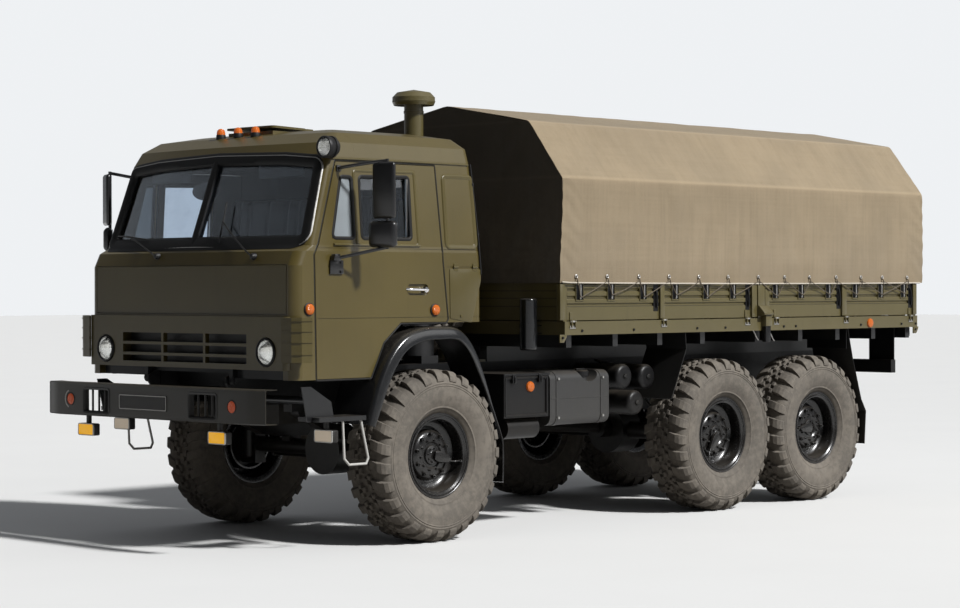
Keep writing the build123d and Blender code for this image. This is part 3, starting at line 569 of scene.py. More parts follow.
def glass_material(name, colour, roughness=0.02, alpha=1.0):
    material, nodes = base_material(name)
    smear = nodes.noise(nodes.place(), 6.0, 5.0)
    shade = tuple(value * 0.95 for value in colour)
    rough = nodes.ranged(smear, 0.4, 0.8, roughness, roughness + 0.05) if roughness else 0.0
    nodes.surface({"Base Color": nodes.mix(nodes.ranged(smear, 0.4, 0.7), (*colour, 1), (*shade, 1)),
        "Transmission Weight": alpha, "IOR": 1.45, "Specular IOR Level": 0.25, "Roughness": rough})
    return material


def lens_material(name, colour, transmission=0.6, glow=0.0):
    """Moulded lamp lens with fine prisms."""
    material, nodes = base_material(name)
    nodes.surface({"Base Color": (*colour, 1), "Transmission Weight": transmission, "Roughness": 0.15,
        "Emission Color": (*colour, 1), "Emission Strength": glow})
    prisms = nodes.add("TexWave", {"bands_direction": "Z"}, {"Vector": nodes.place(), "Scale": 60.0})[1]
    nodes.bumped(prisms, 0.4, 0.003)
    return material


def metal_material(name, colour, roughness):
    material, nodes = base_material(name)
    rough = nodes.ranged(nodes.noise(nodes.place(), 30.0), 0.3, 0.8, roughness, roughness + 0.2)
    nodes.surface({"Metallic": 1.0, "Base Color": (*colour, 1), "Roughness": rough})
    return material


def wood_material():
    material, nodes = base_material("bench boards")
    lines = nodes.noise(nodes.stretched(nodes.place(), (1.5, 30.0, 30.0)), 2.0, 6.0, 0.6)
    nodes.surface({"Base Color": nodes.mix(nodes.ranged(lines, 0.35, 0.7), (0.26, 0.16, 0.08, 1),
        (0.12, 0.07, 0.04, 1)), "Roughness": 0.6})
    nodes.bumped(lines, 0.3, 0.002)
    return material


def leather_material():
    material, nodes = base_material("seat cover")
    place = nodes.place()
    cells = nodes.add("TexVoronoi", None, {"Vector": place, "Scale": 260.0})[0]
    patch = nodes.ranged(nodes.noise(place, 5.0), 0.3, 0.7)
    nodes.surface({"Base Color": nodes.mix(patch, (0.018, 0.018, 0.019, 1), (0.03, 0.028, 0.026, 1)),
        "Roughness": 0.5})
    nodes.bumped(cells, 0.3, 0.002)
    return material


CAB_PAINT = {"dust": 0.08, "low": 0.5, "high": 1.6, "chips": 0.1, "shine": 0.4}
BED_GREEN = (0.104, 0.085, 0.03)
BED_PAINT = {"gloss": 0.33, "dust": 0.12, "low": 1.1, "high": 1.8, "coat": 0.25}
CORD = {"dust": 0.1, "chips": 0.0, "grain": 0.8, "dents": 0.0}
FINISHES = {"olive": lambda: painted("olive paint", (0.092, 0.072, 0.02), gloss=0.28, top=0.08, coat=0.2,
    **CAB_PAINT), "cab_olive": lambda: painted("cab paint", (0.096, 0.073, 0.02), gloss=0.27, top=0.06,
    coat=0.25, inside=cab_trim, **CAB_PAINT), "bed_olive": lambda: painted("bed olive paint", BED_GREEN,
    chips=0.3, **BED_PAINT), "frame_olive": lambda: painted("bed frame paint", BED_GREEN, chips=0.3,
    black_below=1.487, **BED_PAINT), "board_olive": lambda: painted("board paint", BED_GREEN, chips=0.3,
    # The boards' groove lines are painted darker, painted shade in the grooves.
    grooves=(1.706, 1.77, 1.828), **BED_PAINT), "stack_olive": lambda: painted("intake paint and shade", BED_GREEN,
    # The intake is painted near black below 1.93 m: painted shade behind the cab.
    chips=0.2, black_below=1.93, **BED_PAINT), "bumper_paint": lambda: painted("bumper paint",
    (0.014, 0.012, 0.007), gloss=0.28, dust=0.05, low=0.7, high=1.3, shine=0.4),
    "black_paint": lambda: painted("chassis black", (0.005, 0.005, 0.0055), dust=0.08, low=0.3, high=1.3,
    chips=0.15, shine=0.3), "tank_black": lambda: painted("tank black", (0.028, 0.028, 0.028), gloss=0.36,
    dust=0.12, low=0.3, high=1.5, chips=0.15), "step_black": lambda: painted("step paint",
    (0.008, 0.0085, 0.0095), gloss=0.24, dust=0.05, low=0.3, high=1.3, coat=0.1, chips=0.1, inside=step_loops),
    "flare_black": lambda: painted("flare black", (0.006, 0.0065, 0.0075), gloss=0.16, dust=0.03, low=0.3,
    high=1.7, coat=0.5, chips=0.04), "rim_black": lambda: painted("rim black", (0.005, 0.005, 0.0055),
    gloss=0.2, dust=0.04, low=0.3, high=1.4, coat=0.1, chips=0.08),
    "engine": lambda: painted("engine casting", (0.014, 0.014, 0.0135), gloss=0.6, dust=0.1, grain=0.8,
    shine=0.3), "rubber": lambda: painted("black rubber", (0.007, 0.007, 0.007), gloss=0.5, dust=0.12, low=0.2,
    high=1.4, shine=0.3, chips=0.0), "seal": lambda: painted("glazing seal", (0.005, 0.005, 0.005), gloss=0.5,
    dust=0.04, top=0.0, chips=0.0, shine=0.25), "mirror_black": lambda: painted("mirror shell",
    (0.009, 0.009, 0.01), gloss=0.25, dust=0.05, top=0.05, chips=0.0, coat=0.3, dents=0.1),
    "plastic": lambda: painted("black plastic", (0.008, 0.008, 0.0085), gloss=0.4, dust=0.06, top=0.05,
    chips=0.0, shine=0.35, grain=0.6, dents=0.0), "rope": lambda: painted("lacing rope", (0.13, 0.105, 0.075),
    gloss=0.85, **CORD), "hem_cord": lambda: painted("pale hem cord", (0.55, 0.5, 0.42), gloss=0.8, **CORD),
    "white": lambda: painted("white paint", (0.75, 0.75, 0.73), gloss=0.4, dust=0.2, chips=0.1),
    "canvas": lambda: canvas_material("tan canvas", (0.305, 0.236, 0.148)),
    # The front sheet's canvas: the tan canvas painted much darker, painted shade on the front wall.
    "front_canvas": lambda: canvas_material("shaded canvas", (0.07, 0.056, 0.038)), "tyre": tyre_material,
    "wood": wood_material, "leather": leather_material, "glass": lambda: glass_material("window glass",
    # The quarter light's glass below is pale blue-grey and only half clear: a painted sky reflection.
    (0.66, 0.73, 0.81), 0.0), "hazy_glass": lambda: glass_material("quarter light", (0.5, 0.55, 0.58), 0.22,
    0.55), "lamp_glass": lambda: glass_material("lamp glass", (0.95, 0.95, 0.92), 0.05),
    "orange": lambda: lens_material("orange lens", (0.9, 0.2, 0.015), 0.45, 0.08),
    "amber": lambda: lens_material("amber lens", (1.0, 0.5, 0.02), 0.3, 0.55),
    "red": lambda: lens_material("red lens", (0.55, 0.02, 0.015)),
    "red_orange": lambda: lens_material("red-orange lens", (0.85, 0.12, 0.02), 0.4, 0.12),
    "clear_lens": lambda: lens_material("clear lens", (0.95, 0.8, 0.62), 0.4, 0.25),
    "mirror": lambda: metal_material("mirror glass", (0.85, 0.87, 0.88), 0.02),
    "chrome": lambda: metal_material("chromed steel", (0.75, 0.75, 0.76), 0.08),
    "steel": lambda: metal_material("worn steel", (0.42, 0.41, 0.39), 0.35),
    "silver": lambda: metal_material("lamp bowl", (0.85, 0.85, 0.85), 0.12)}


SLOTS = {"tyre_rubber": "tyre", "wheel_paint": "rim_black", "canvas": "canvas front_canvas rope hem_cord",
    "flap_rubber": "rubber seal", "olive_paint": "olive bed_olive stack_olive white",
    "glass": "hazy_glass mirror", "black_plastic": "plastic mirror_black", "seat_leather": "leather",
    "lamp_glass": "lamp_glass orange amber red red_orange clear_lens",
    "black_paint": "black_paint bumper_paint tank_black flare_black"}
SLOT_OF = {finish: slot for slot, finishes in SLOTS.items() for finish in finishes.split()}


@functools.cache
def finish_of(name):
    """A material, made once when the first piece asks for it."""
    return FINISHES[name]()


# Settings shown in the sidebar


class TruckSettings(bpy.types.PropertyGroup):
    """Sizes and colours that a user may change."""

    tread_blocks: bpy.props.IntProperty(name="Tread blocks", description="Shoulder lugs on one side of a tyre",
        default=27, min=12, max=60)
    tread_depth: bpy.props.FloatProperty(name="Tread depth", description="Height of a lug", default=0.026,
        unit="LENGTH")
    cover_sag: bpy.props.FloatProperty(name="Cover sag", description="How far the cover sinks between its bows",
        default=0.006, unit="LENGTH")
    floor_colour: bpy.props.FloatVectorProperty(name="Floor", description="Colour of the floor",
        default=(0.78, 0.78, 0.77), size=3, subtype="COLOR")
    lens: bpy.props.FloatProperty(name="Lens", description="Camera lens on a 36 mm sensor, in millimetres",
        default=88.1)


# Stage


def make_stage(settings):
    scene = bpy.context.scene
    scene.view_settings.view_transform = "Standard"
    clear()
    bpy.ops.mesh.primitive_plane_add(size=240, location=(0, 0, -0.001))
    floor = settle(named("floor"))
    material, nodes = base_material("pale floor")
    shade = tuple(value * 0.96 for value in settings.floor_colour)
    pale = nodes.mix(nodes.noise(nodes.place(), 0.8, 4.0), (*settings.floor_colour, 1), (*shade, 1))
    rays = nodes.add("LightPath")
    seen = rays["Is Camera Ray"] | (rays["Is Transmission Ray"] | rays["Is Glossy Ray"])
    seen = seen * (rays["Diffuse Depth"] < 0.5)
    nodes.surface({"Base Color": nodes.mix(seen, (0.2, 0.19, 0.175, 1), pale), "Roughness": 0.9})
    floor.data.materials.append(material)
    floor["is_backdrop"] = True

    world = scene.world or bpy.data.worlds.new("soft sky")
    scene.world = world
    world.use_nodes = True
    nodes = Nodes(world.node_tree)
    rays = nodes.add("LightPath")
    flat = (rays["Is Camera Ray"] | rays["Is Transmission Ray"]) * (rays["Diffuse Depth"] < 0.5)
    ahead = nodes.ranged(nodes.split(nodes.place("Generated"))[0], 0.0, 0.7)
    nodes.feed(world.node_tree.nodes["Background"].inputs, {0: nodes.mix(flat, (0.82, 0.85, 0.9, 1),
        (0.86, 0.88, 0.9, 1)), 1: nodes.mix_value(flat, nodes.mix_value(ahead, 0.28, 0.08), 1.0)})

    bpy.ops.object.light_add(type="SUN", rotation=(math.radians(47), 0, math.radians(192)))
    sun = bpy.context.object
    sun.name = "key_light"
    sun.data.energy = 4.1
    sun.data.angle = math.radians(5)
    bpy.ops.object.light_add(type="AREA", location=(-7, 11, 8))
    fill = bpy.context.object
    fill.name = "fill_light"
    fill.data.energy = 240
    fill.data.size = 7
    fill.rotation_euler = (Vector((0, 0, 1)) - fill.location).to_track_quat("-Z", "Y").to_euler()

    bpy.ops.object.camera_add(location=(14.364, 13.258, 1.854))
    camera = bpy.context.object
    camera.name = "photo_camera"
    camera.rotation_euler = (math.radians(90 - 0.4), math.radians(0.1), math.radians(223.88 - 90))
    camera.data.lens = settings.lens
    camera.data.sensor_width = 36
    camera.data.clip_end = 400
    scene.camera = camera


# Wheels


def wheel_places():
    for axle, ahead in AXLES.items():
        for side, sign in SIDES.items():
            body = f"wheel_{axle}_{side}"
            turn = Matrix.Rotation(0 if sign > 0 else math.pi, 4, "Z")
            yield axle, side, body, Matrix.Translation(at(ahead, sign * WHEEL_Y, AXLE_Z)) @ turn


CARCASS = [(0.603, 0), (0.604, 0.06), (0.602, 0.12), (0.596, 0.155), (0.578, 0.186), (0.556, 0.202),
    (0.536, 0.207), (0.53, 0.2115), (0.526, 0.2115), (0.522, 0.2085), (0.518, 0.2085), (0.514, 0.2125),
    (0.51, 0.2125), (0.506, 0.2095), (0.5, 0.21), (0.47, 0.2125), (0.43, 0.21), (0.392, 0.2), (0.362, 0.187),
    (0.356, 0.188), (0.35, 0.187), (0.346, 0.181), (0.33, 0.17), (0.319, 0.158), (0.314, 0.15), (0.3, 0.146),
    (0.28, 0.14),]
SHOULDER_LUG = [(0.59, 0.074), (0.6285, 0.076), (0.6285, 0.12), (0.624, 0.152), (0.609, 0.182), (0.586, 0.202),
    (0.56, 0.2115), (0.544, 0.2125), (0.54, 0.2), (0.575, 0.18), (0.594, 0.15), (0.6, 0.11),]


TREAD_RADIUS = AXLE_Z  # the lugs' tops lie on the rolling circle


def lug(name, profile, start, end, taper=0.006):
    """A tread block: a (radius, y) outline drawn out along the tread."""
    obj = prism(name, [(start, y, r) for r, y in profile], (end - start, 0, 0))
    for vertex in obj.data.vertices:
        if vertex.co.z > 0.612:
            vertex.co.x += taper if vertex.co.x < (start + end) / 2 else -taper
    return rounded(obj, 0.003, 1, 40)


def wrap_round(obj, slant):
    """Bends blocks laid along a tangent round the tyre, swept back from the middle."""
    for vertex in obj.data.vertices:
        x, y, z = vertex.co
        angle = (x + slant * abs(y)) / TREAD_RADIUS
        vertex.co = (z * math.sin(angle), y, z * math.cos(angle))


def make_tread(settings):
    pitch = math.tau * TREAD_RADIUS / settings.tread_blocks
    blocks = []
    for sign, shift in ((1, 0), (-1, pitch / 2)):
        half = [lug("shoulder", SHOULDER_LUG, -0.04, 0.04)]
        rows = ((0.006, 0.036, -0.03, 0.026), (0.041, 0.071, 0.004, 0.058), (0.041, 0.071, -0.064, -0.016))
        for low, high, start, end in rows:
            half.append(lug("centre", [(0.598, low), (0.629, low), (0.629, high), (0.598, high)], start, end))
        for piece in half:
            piece.data.transform(Matrix.Translation((shift, 0, 0)) @ Matrix.Diagonal((1, sign, 1, 1)))
            if sign < 0:
                piece.data.flip_normals()
        blocks += half
    pattern = merged("tread", blocks)
    wrap_round(pattern, 0.3)
    clear()
    bpy.ops.object.empty_add(rotation=(0, math.tau / settings.tread_blocks, 0))
    turn = bpy.context.object
    modify(pattern, "ARRAY", count=settings.tread_blocks, use_relative_offset=False, use_object_offset=True,
        offset_object=turn)
    bpy.data.objects.remove(turn)
    return pattern


def make_tyres(settings):
    profile = CARCASS + [(r, -y) for r, y in CARCASS[:0:-1]]
    carcass = smooth(turned("carcass", profile, (0, 0, 0), steps=108), 32)
    tyre = merged("tyre", [carcass, make_tread(settings)])
    chance = random.Random(5)
    for axle, side, body, place in wheel_places():
        roll = Matrix.Rotation(chance.uniform(0, math.tau), 4, "Y")
        copy = twin(tyre, f"treaded_tyre_{axle}_{side}", place @ roll)
        fitted(copy, body, "tyre", f"tyre_{axle}_{side}")
    place = Matrix.Translation(at(-1.015, -0.23, 1.92)) @ Matrix.Rotation(math.pi / 2, 4, "Z")
    fitted(twin(tyre, "treaded_tyre_spare", place), "chassis", "tyre", "spare_tyre")
    bpy.data.objects.remove(tyre)


RIM = [(0.3, -0.156), (0.313, -0.156), (0.313, -0.148), (0.28, -0.146), (0.268, -0.1), (0.268, 0.096),
    (0.284, 0.14), (0.3, 0.145), (0.313, 0.148), (0.3145, 0.153), (0.312, 0.158), (0.305, 0.159), (0.3, 0.156),
    (0.297, 0.15), (0.29, 0.149), (0.288, 0.155), (0.283, 0.156), (0.278, 0.152), (0.272, 0.147),
    (0.266, 0.146), (0.262, 0.14), (0.2585, 0.128), (0.258, 0.04), (0.252, 0.032), (0.236, 0.02),
    (0.214, 0.012), (0.206, 0.01), (0.206, 0.002), (0.24, 0.006), (0.256, 0.012), (0.258, 0.0), (0.258, -0.1),
    (0.272, -0.146),]
HUB = [(0.0, 0.06), (0.0, 0.098), (0.03, 0.098), (0.036, 0.094), (0.06, 0.092), (0.068, 0.088), (0.072, 0.074),
    (0.088, 0.072), (0.1, 0.082), (0.142, 0.08), (0.168, 0.072), (0.182, 0.058), (0.188, 0.04), (0.19, 0.016),
    (0.214, 0.012), (0.214, 0.004), (0.205, 0.0), (0.205, -0.1), (0.192, -0.1), (0.192, -0.008), (0.15, -0.004),
    (0.0, 0.03),]


def bolt_circle(name, count, radius, height, size, length, start=0.0, sides=6):
    """Nuts round the wheel's axis, each a short bevelled prism with a stud."""
    clear()
    bpy.ops.mesh.primitive_cylinder_add(vertices=sides, radius=size, depth=length, rotation=(math.pi / 2, 0, 0))
    nut = rounded(settle(named(name)), size * 0.15, 1, 40)
    bpy.ops.mesh.primitive_cylinder_add(vertices=8, radius=size * 0.5, depth=length * 1.7,
        rotation=(math.pi / 2, 0, 0))
    nut = merged(name, [nut, settle(bpy.context.object)])
    made = []
    for index in range(count):
        angle = start + index * math.tau / count
        place = Matrix.Translation((radius * math.cos(angle), height, radius * math.sin(angle)))
        made.append(twin(nut, f"{name}_{index}", place @ Matrix.Rotation(angle, 4, "Y")))
    bpy.data.objects.remove(nut)
    return merged(name, made)


def make_wheels(settings):
    rim = smooth(turned("rim", RIM, (0, 0, 0), steps=96), 30)
    hub = smooth(turned("hub", HUB, (0, 0, 0), steps=48), 30)
    studs = bolt_circle("studs", 10, 0.155, 0.086, 0.016, 0.03)
    ribs = bolt_circle("hub_ribs", 10, 0.112, 0.085, 0.01, 0.016, 0.3)
    cap = bolt_circle("cap_bolts", 8, 0.05, 0.098, 0.007, 0.012)
    guard = prism("valve_guard", [(0.0, 0.094, -0.03), (0.05, 0.094, -0.042), (0.15, 0.094, -0.026),
        (0.178, 0.094, 0.0), (0.15, 0.094, 0.026), (0.05, 0.094, 0.042), (0.0, 0.094, 0.03)], (0, 0.028, 0),
        0.008)
    hose = tube("valve_hose", [(0.15, 0.112, 0.01), (0.19, 0.122, 0.012), (0.222, 0.132, 0.0),
        (0.246, 0.134, -0.004), (0.262, 0.14, -0.004)], 0.006, 2)
    valve = block("valve", (0.24, 0.124, -0.014), (0.264, 0.146, 0.006), 0.003, 1)
    wheel = merged("wheel", [rim, hub, studs, ribs, cap, smooth(guard), hose, valve])
    chance = random.Random(9)
    for axle, side, body, place in wheel_places():
        roll = Matrix.Rotation(chance.uniform(0, math.tau), 4, "Y")
        copy = twin(wheel, f"rim_and_hub_{axle}_{side}", place @ roll)
        fitted(copy, body, "rim_black", f"wheel_{axle}_{side}")
    bpy.data.objects.remove(wheel)


# Canvas cover

BOWS = [-1.42, -2.56, -3.7, -4.86, -6.02]
COVER_FRONT, COVER_REAR = -1.287, -6.224
COVER_GIRTH, HEM_Z, PLEAT = 4.56, 1.888, 0.372
COVER_SHAPE = [(1.246, 1.888), (1.247, 2.1), (1.246, 2.31), (1.241, 2.6), (1.237, 2.69), (1.231, 2.704),
    (1.222, 2.716), (0.905, 3.128), (0.888, 3.145), (0.868, 3.153), (0.04, 3.304), (0.0, 3.308)]


def stations(points, step):
    """Points along an outline, no further apart than a step, that keep its corners."""
    made = [Vector(points[0])]
    for a, b in zip(points, points[1:]):
        parts = max(1, math.ceil(math.dist(a, b) / step))
        made += [Vector(a).lerp(Vector(b), k / parts) for k in range(1, parts + 1)]
    return made


def between_bows(x):
    """0 on a bow, 1 half way between two bows."""
    for front, back in zip(BOWS, BOWS[1:]):
        if back <= x <= front:
            return math.sin(math.pi * (x - back) / (front - back)) ** 2
    return 0.0


def eased(value, low, high):
    """0 below low, 1 above high, smooth between."""
    share = min(1.0, max(0.0, (value - low) / (high - low)))
    return share * share * (3 - 2 * share)


def front_edge(y, z):
    """How far forward the cover reaches: its lower corners wrap round the bed's front posts."""
    return COVER_FRONT + 0.037 * eased(abs(y), 1.02, 1.21) * eased(-z, -2.62, -1.95)


def cloth_grid(name, columns, rows, shape):
    """A grid whose points are put in place by a function of its two shares, with a UV map of those shares."""
    clear()
    bpy.ops.mesh.primitive_grid_add(x_subdivisions=columns, y_subdivisions=rows, size=2, calc_uvs=True)
    obj = named(name)
    shares = [((v.co.x + 1) / 2, (v.co.y + 1) / 2) for v in obj.data.vertices]
    for vertex, (u, v) in zip(obj.data.vertices, shares):
        vertex.co = shape(u, v)
    return obj


def sheet_of(name, columns, rows, shape, finish, flat, held, *stands_for, offset=0.0, angle=60, **more):
    """A sheet of canvas over the bows, with its UV map in metres and its thickness."""
    obj = cloth_grid(name, columns, rows, shape)
    for item in obj.data.uv_layers.active.data:
        item.uv = (item.uv[0] * flat[0], item.uv[1] * flat[1])
    obj = smooth(modify(obj, "SOLIDIFY", thickness=0.003, offset=offset), angle)
    fitted(obj, "chassis", finish, *stands_for)


def make_cover(settings):
    half = stations(COVER_SHAPE, 0.036)
    full = half + [Vector((-p[0], p[1])) for p in half[-2::-1]]

    def roof(u, v):
        y, z = full[round(v * (len(full) - 1))]
        x = COVER_REAR + (front_edge(y, z) - COVER_REAR) * u
        away = min(1.0, min(abs(z - fold) for fold in (CREASE_Z, EAVE_Z)) / 0.12) * eased(abs(y) + z, 3.3, 3.42)
        slack = between_bows(x) * settings.cover_sag * away
        inward = Vector((0, -y, 2.3 - z)).normalized()
        side = z < 2.7
        wave = noise.noise((x * 1.3, y * 1.7 + z, 2.0)) * 0.007 + noise.noise(
            (x * 5.2, z * 3.1 + y, 7.0)) * 0.003
        pleat = math.sin(x * math.tau / PLEAT + 0.6) * (0.6 + noise.noise((x * 1.1, 3.0, 0)))
        hem = eased(-z, -2.22, -1.89) if side else 0.0
        corner = eased(x, -1.62, -1.3) + eased(-x, 5.9, 6.2)
        pucker = corner * math.sin(z * 46 + abs(x + 1.3) * 30 + noise.noise((x * 4, z * 4, 1)) * 4) * 0.0035
        drawn = slack + abs(wave) + 0.0045 * hem * (1 + pleat) + pucker * (1 if side else 0.3)
        limit = 0.01 if z < 2.34 else 0.03
        return at(x, y, z) + inward * min(limit, max(-0.004, drawn))

    flat = (COVER_FRONT - COVER_REAR, COVER_GIRTH)
    sheet_of("cover_roof", 190, len(full) - 1, roof, "canvas", flat, "stretched", "canvas_cover", offset=-1.0,
        angle=22)

    def front(u, v):
        y = (u * 2 - 1) * 1.24
        top = outline_height(abs(y)) - 0.006
        z = HEM_Z + (top - HEM_Z) * v
        inner = 1 - abs(u * 2 - 1) ** 6
        folds = math.sin(y * 13 + noise.noise((y * 2, z, 0)) * 4) * 0.007 * (1 - v) ** 0.5
        folds += math.sin((y - z) * 17 + noise.noise((y * 3, z * 2, 5)) * 3) * 0.004 * eased(abs(y), 0.3, 1.0)
        wave = noise.noise((y * 2.6, z * 1.1, 4.0)) * 0.012
        lifted = max(-0.014, min(0.016, (folds + wave) * inner + 0.004))
        return at(front_edge(y, z) - 0.004 + lifted * (0.4 + 0.6 * inner), y, z)

    # The front sheet takes the darker canvas, painted shade.
    sheet_of("cover_front", 110, 80, front, "front_canvas", (2.476, 1.42), "hung", area=3.28)

    def gable(u, v):
        y = (u * 2 - 1) * 1.236
        top = outline_height(abs(y)) - 0.006
        low = min(2.985, top - 0.01)
        return at(COVER_REAR + 0.022 + 0.01 * noise.noise((y * 3, v * 2, 1.0)), y, low + (top - low) * v)

    sheet_of("cover_gable", 60, 12, gable, "canvas", (2.47, 0.33), "hung", area=0.45)

    def roll(u, v):
        turn = v * math.tau * 3.6
        radius = 0.016 + 0.0105 * turn / math.tau
        radius *= 1 + 0.06 * noise.noise((u * 9, turn * 0.3, 0))
        y = (u * 2 - 1) * 0.93
        sag = 0.018 * math.sin(math.pi * ((u * 4) % 1.0))
        return at(COVER_REAR + 0.085 + radius * math.cos(turn), y, 2.975 - sag + radius * math.sin(turn))

    sheet_of("cover_curtain_roll", 60, 80, roll, "canvas", (1.86, 0.8), "folded")


def outline_height(y):
    """Height of the cover's outline at a distance from the middle."""
    for (outer, low), (inner, high) in zip(COVER_SHAPE[4:], COVER_SHAPE[5:]):
        if inner <= y <= outer:
            return low + (high - low) * (outer - y) / (outer - inner)
    return 2.68


# Cab fittings

CAB_ROWS = [(1.15, 1.385, 1.38, 1.09, 1.16, 1.31), (2.01, 1.385, 1.378, 1.09, 1.16, 1.308),
    (2.11, 1.362, 1.332, 1.085, 1.158, 1.262), (2.15, 1.338, 1.24, 1.11, 1.152, 1.192),
    (2.775, 1.105, 1.035, 1.05, 1.105, 0.985), (2.88, 1.05, 0.975, 1.02, 1.082, 0.925),
    (2.955, 0.93, 0.87, 0.93, 0.985, 0.82), (2.995, 0.7, 0.66, 0.7, 0.745, 0.62),]


def cab_row(z):
    """Level outline at a height: front at the middle and the corner, corner's y, half-width, side's front."""
    for low, high in zip(CAB_ROWS, CAB_ROWS[1:]):
        if z <= high[0]:
            share = max(0.0, (z - low[0]) / (high[0] - low[0]))
            return [a + (b - a) * share for a, b in zip(low[1:], high[1:])]
    return list(CAB_ROWS[-1][1:])


def cab_front(y, z):
    mid, corner, glass, half, side = cab_row(z)
    y = abs(y)
    if y <= glass:
        return mid - (mid - corner) * (y / glass) ** 2
    t = min(1.0, (y - glass) / (half - glass))
    return corner + (side - corner) * t + 0.6 * t * (1 - t) * (half - glass)


def cab_side(x, z):
    _, corner, glass, half, side = cab_row(z)
    if x <= side:
        return half
    t = min(1.0, (x - side) / (corner - side))
    return half + (glass - half) * t + 0.6 * t * (1 - t) * (corner - side)


def on_front(y, z, height=0.0):
    return at(cab_front(y, z) + height, y, z)


def on_side(sign):
    return lambda x, z, height=0.0: at(x, sign * (cab_side(x, z) + height), z)


def rounded_path(corners, radius, step=0.06, arc=5):
    """A closed polygon with round corners and points along its straight runs."""
    points = [Vector(c) for c in corners]
    path = []
    for index, corner in enumerate(points):
        back = (points[index - 1] - corner).normalized()
        on = (points[(index + 1) % len(points)] - corner).normalized()
        half = back.angle(on) / 2
        centre = corner + (back + on).normalized() * radius / math.sin(half)
        start, end = (corner + way * radius / math.tan(half) - centre for way in (back, on))
        path += [centre + start.lerp(end, k / arc).normalized() * radius for k in range(arc + 1)]
    filled = []
    for a, b in zip(path, path[1:] + path[:1]):
        pieces = max(1, math.ceil((b - a).length / step))
        filled += [a.lerp(b, k / pieces) for k in range(pieces)]
    return filled


def rectangle(low, high, radius, step, arc=5):
    """A rectangle with round corners, from its lowest and highest corner."""
    return rounded_path([low, (high[0], low[1]), high, (low[0], high[1])], radius, step, arc)


def band(name, path, profile, place, closed=True):
    """A strip along a flat path; its outline is (offset outwards, height) pairs, put on a surface by place."""
    area = sum(a.x * b.y - b.x * a.y for a, b in zip(path, path[1:] + path[:1]))
    sign = 1 if area > 0 else -1
    count = len(path)
    normals = []
    for index in range(count):
        after = path[(index + 1) % count] if closed else path[min(index + 1, count - 1)]
        before = path[index - 1] if closed else path[max(index - 1, 0)]
        way = (after - before).normalized()
        normals.append(Vector((way.y, -way.x)) * sign)
    columns = count if closed else count - 1
    rows = len(profile)

    def shape(u, v):
        i = round(u * columns) % count
        offset, height = profile[round(v * rows) % rows]
        spot = path[i] + normals[i] * offset
        return place(spot.x, spot.y, height)

    return smooth(closed_up(cloth_grid(name, columns, rows, shape), not closed), 50)


def strip(width, low, high, start=0.0):
    """A band's outline with slightly rounded shoulders."""
    soft = min(0.25 * width, 0.4 * (high - low))
    return [(start, low), (start, high - soft), (start + soft, high), (start + width - soft, high),
        (start + width, high - soft), (start + width, low)]


SCREEN = [(-1.106, 2.16), (1.106, 2.16), (1.052, 2.752), (0.7, 2.784), (0.0, 2.803), (-0.7, 2.784),
    (-1.052, 2.752)]


def make_windscreen_trim(settings):
    path = rounded_path(SCREEN, 0.075, 0.05)
    rubber = band("windscreen_rubber", path, [(-0.062, -0.034), (-0.06, -0.012), (-0.045, 0.004),
        (-0.004, 0.01), (0.024, 0.01), (0.034, 0.004), (0.036, -0.004)], on_front)
    divider = cloth_grid("windscreen_divider", 4, 24, lambda u, v: on_front((u - 0.5) * 0.056, 2.17 + 0.6 * v,
        0.01 - 0.008 * abs(u * 2 - 1) ** 2))
    divider = smooth(modify(divider, "SOLIDIFY", thickness=0.012, offset=-1.0), 60)
    fitted(merged("windscreen_rubber", [rubber, divider]), "cab", "seal")
    wider = [(y * 1.016, z) for y, z in SCREEN]
    bead = band("windscreen_bead", rounded_path(wider, 0.075, 0.05),
        [(0.008, 0.004), (0.009, 0.0115), (0.015, 0.0115), (0.016, 0.004)], on_front)
    fitted(bead, "cab", "steel")


WIPERS = [((0.72, 2.074), (0.509, 2.168), (0.29, 2.332), (0.3, 2.182), (0.262, 2.47)),
    ((-0.351, 2.087), (-0.666, 2.2), (-0.8, 2.236), (-0.983, 2.246), (-0.563, 2.214))]


def make_wipers(settings):
    made = []
    rise = 0.03
    for foot, elbow, end, one, other in WIPERS:
        arm = tube("wiper_arm", [on_front(*foot, 0.028), on_front(*elbow, rise), on_front(*end, rise)], 0.006,
            2)
        blade = tube("wiper_blade", [on_front(*one, 0.016), on_front(*end, 0.019), on_front(*other, 0.016)],
            0.006, 2)
        base = turned("wiper_base", [(0, 0.0), (0.026, 0.0), (0.024, 0.02), (0.016, 0.034), (0, 0.036)],
            on_front(*foot), "X", 20)
        made += [arm, blade, smooth(base)]
    fitted(merged("wipers", made), "cab", "plastic")


DOOR = [(1.178, 1.215), (1.195, 2.085), (1.15, 2.16), (0.952, 2.745), (-0.03, 2.745), (-0.066, 2.04),
    (-0.117, 1.625), (-0.1, 1.6), (0.362, 1.6), (0.533, 1.463), (0.658, 1.215)]
QUARTER_LIGHT = [(1.02, 2.2), (0.912, 2.64), (0.8, 2.64), (0.8, 2.2)]
DOOR_LIGHT = [(0.735, 2.2), (0.735, 2.645), (0.24, 2.655), (0.24, 2.2)]


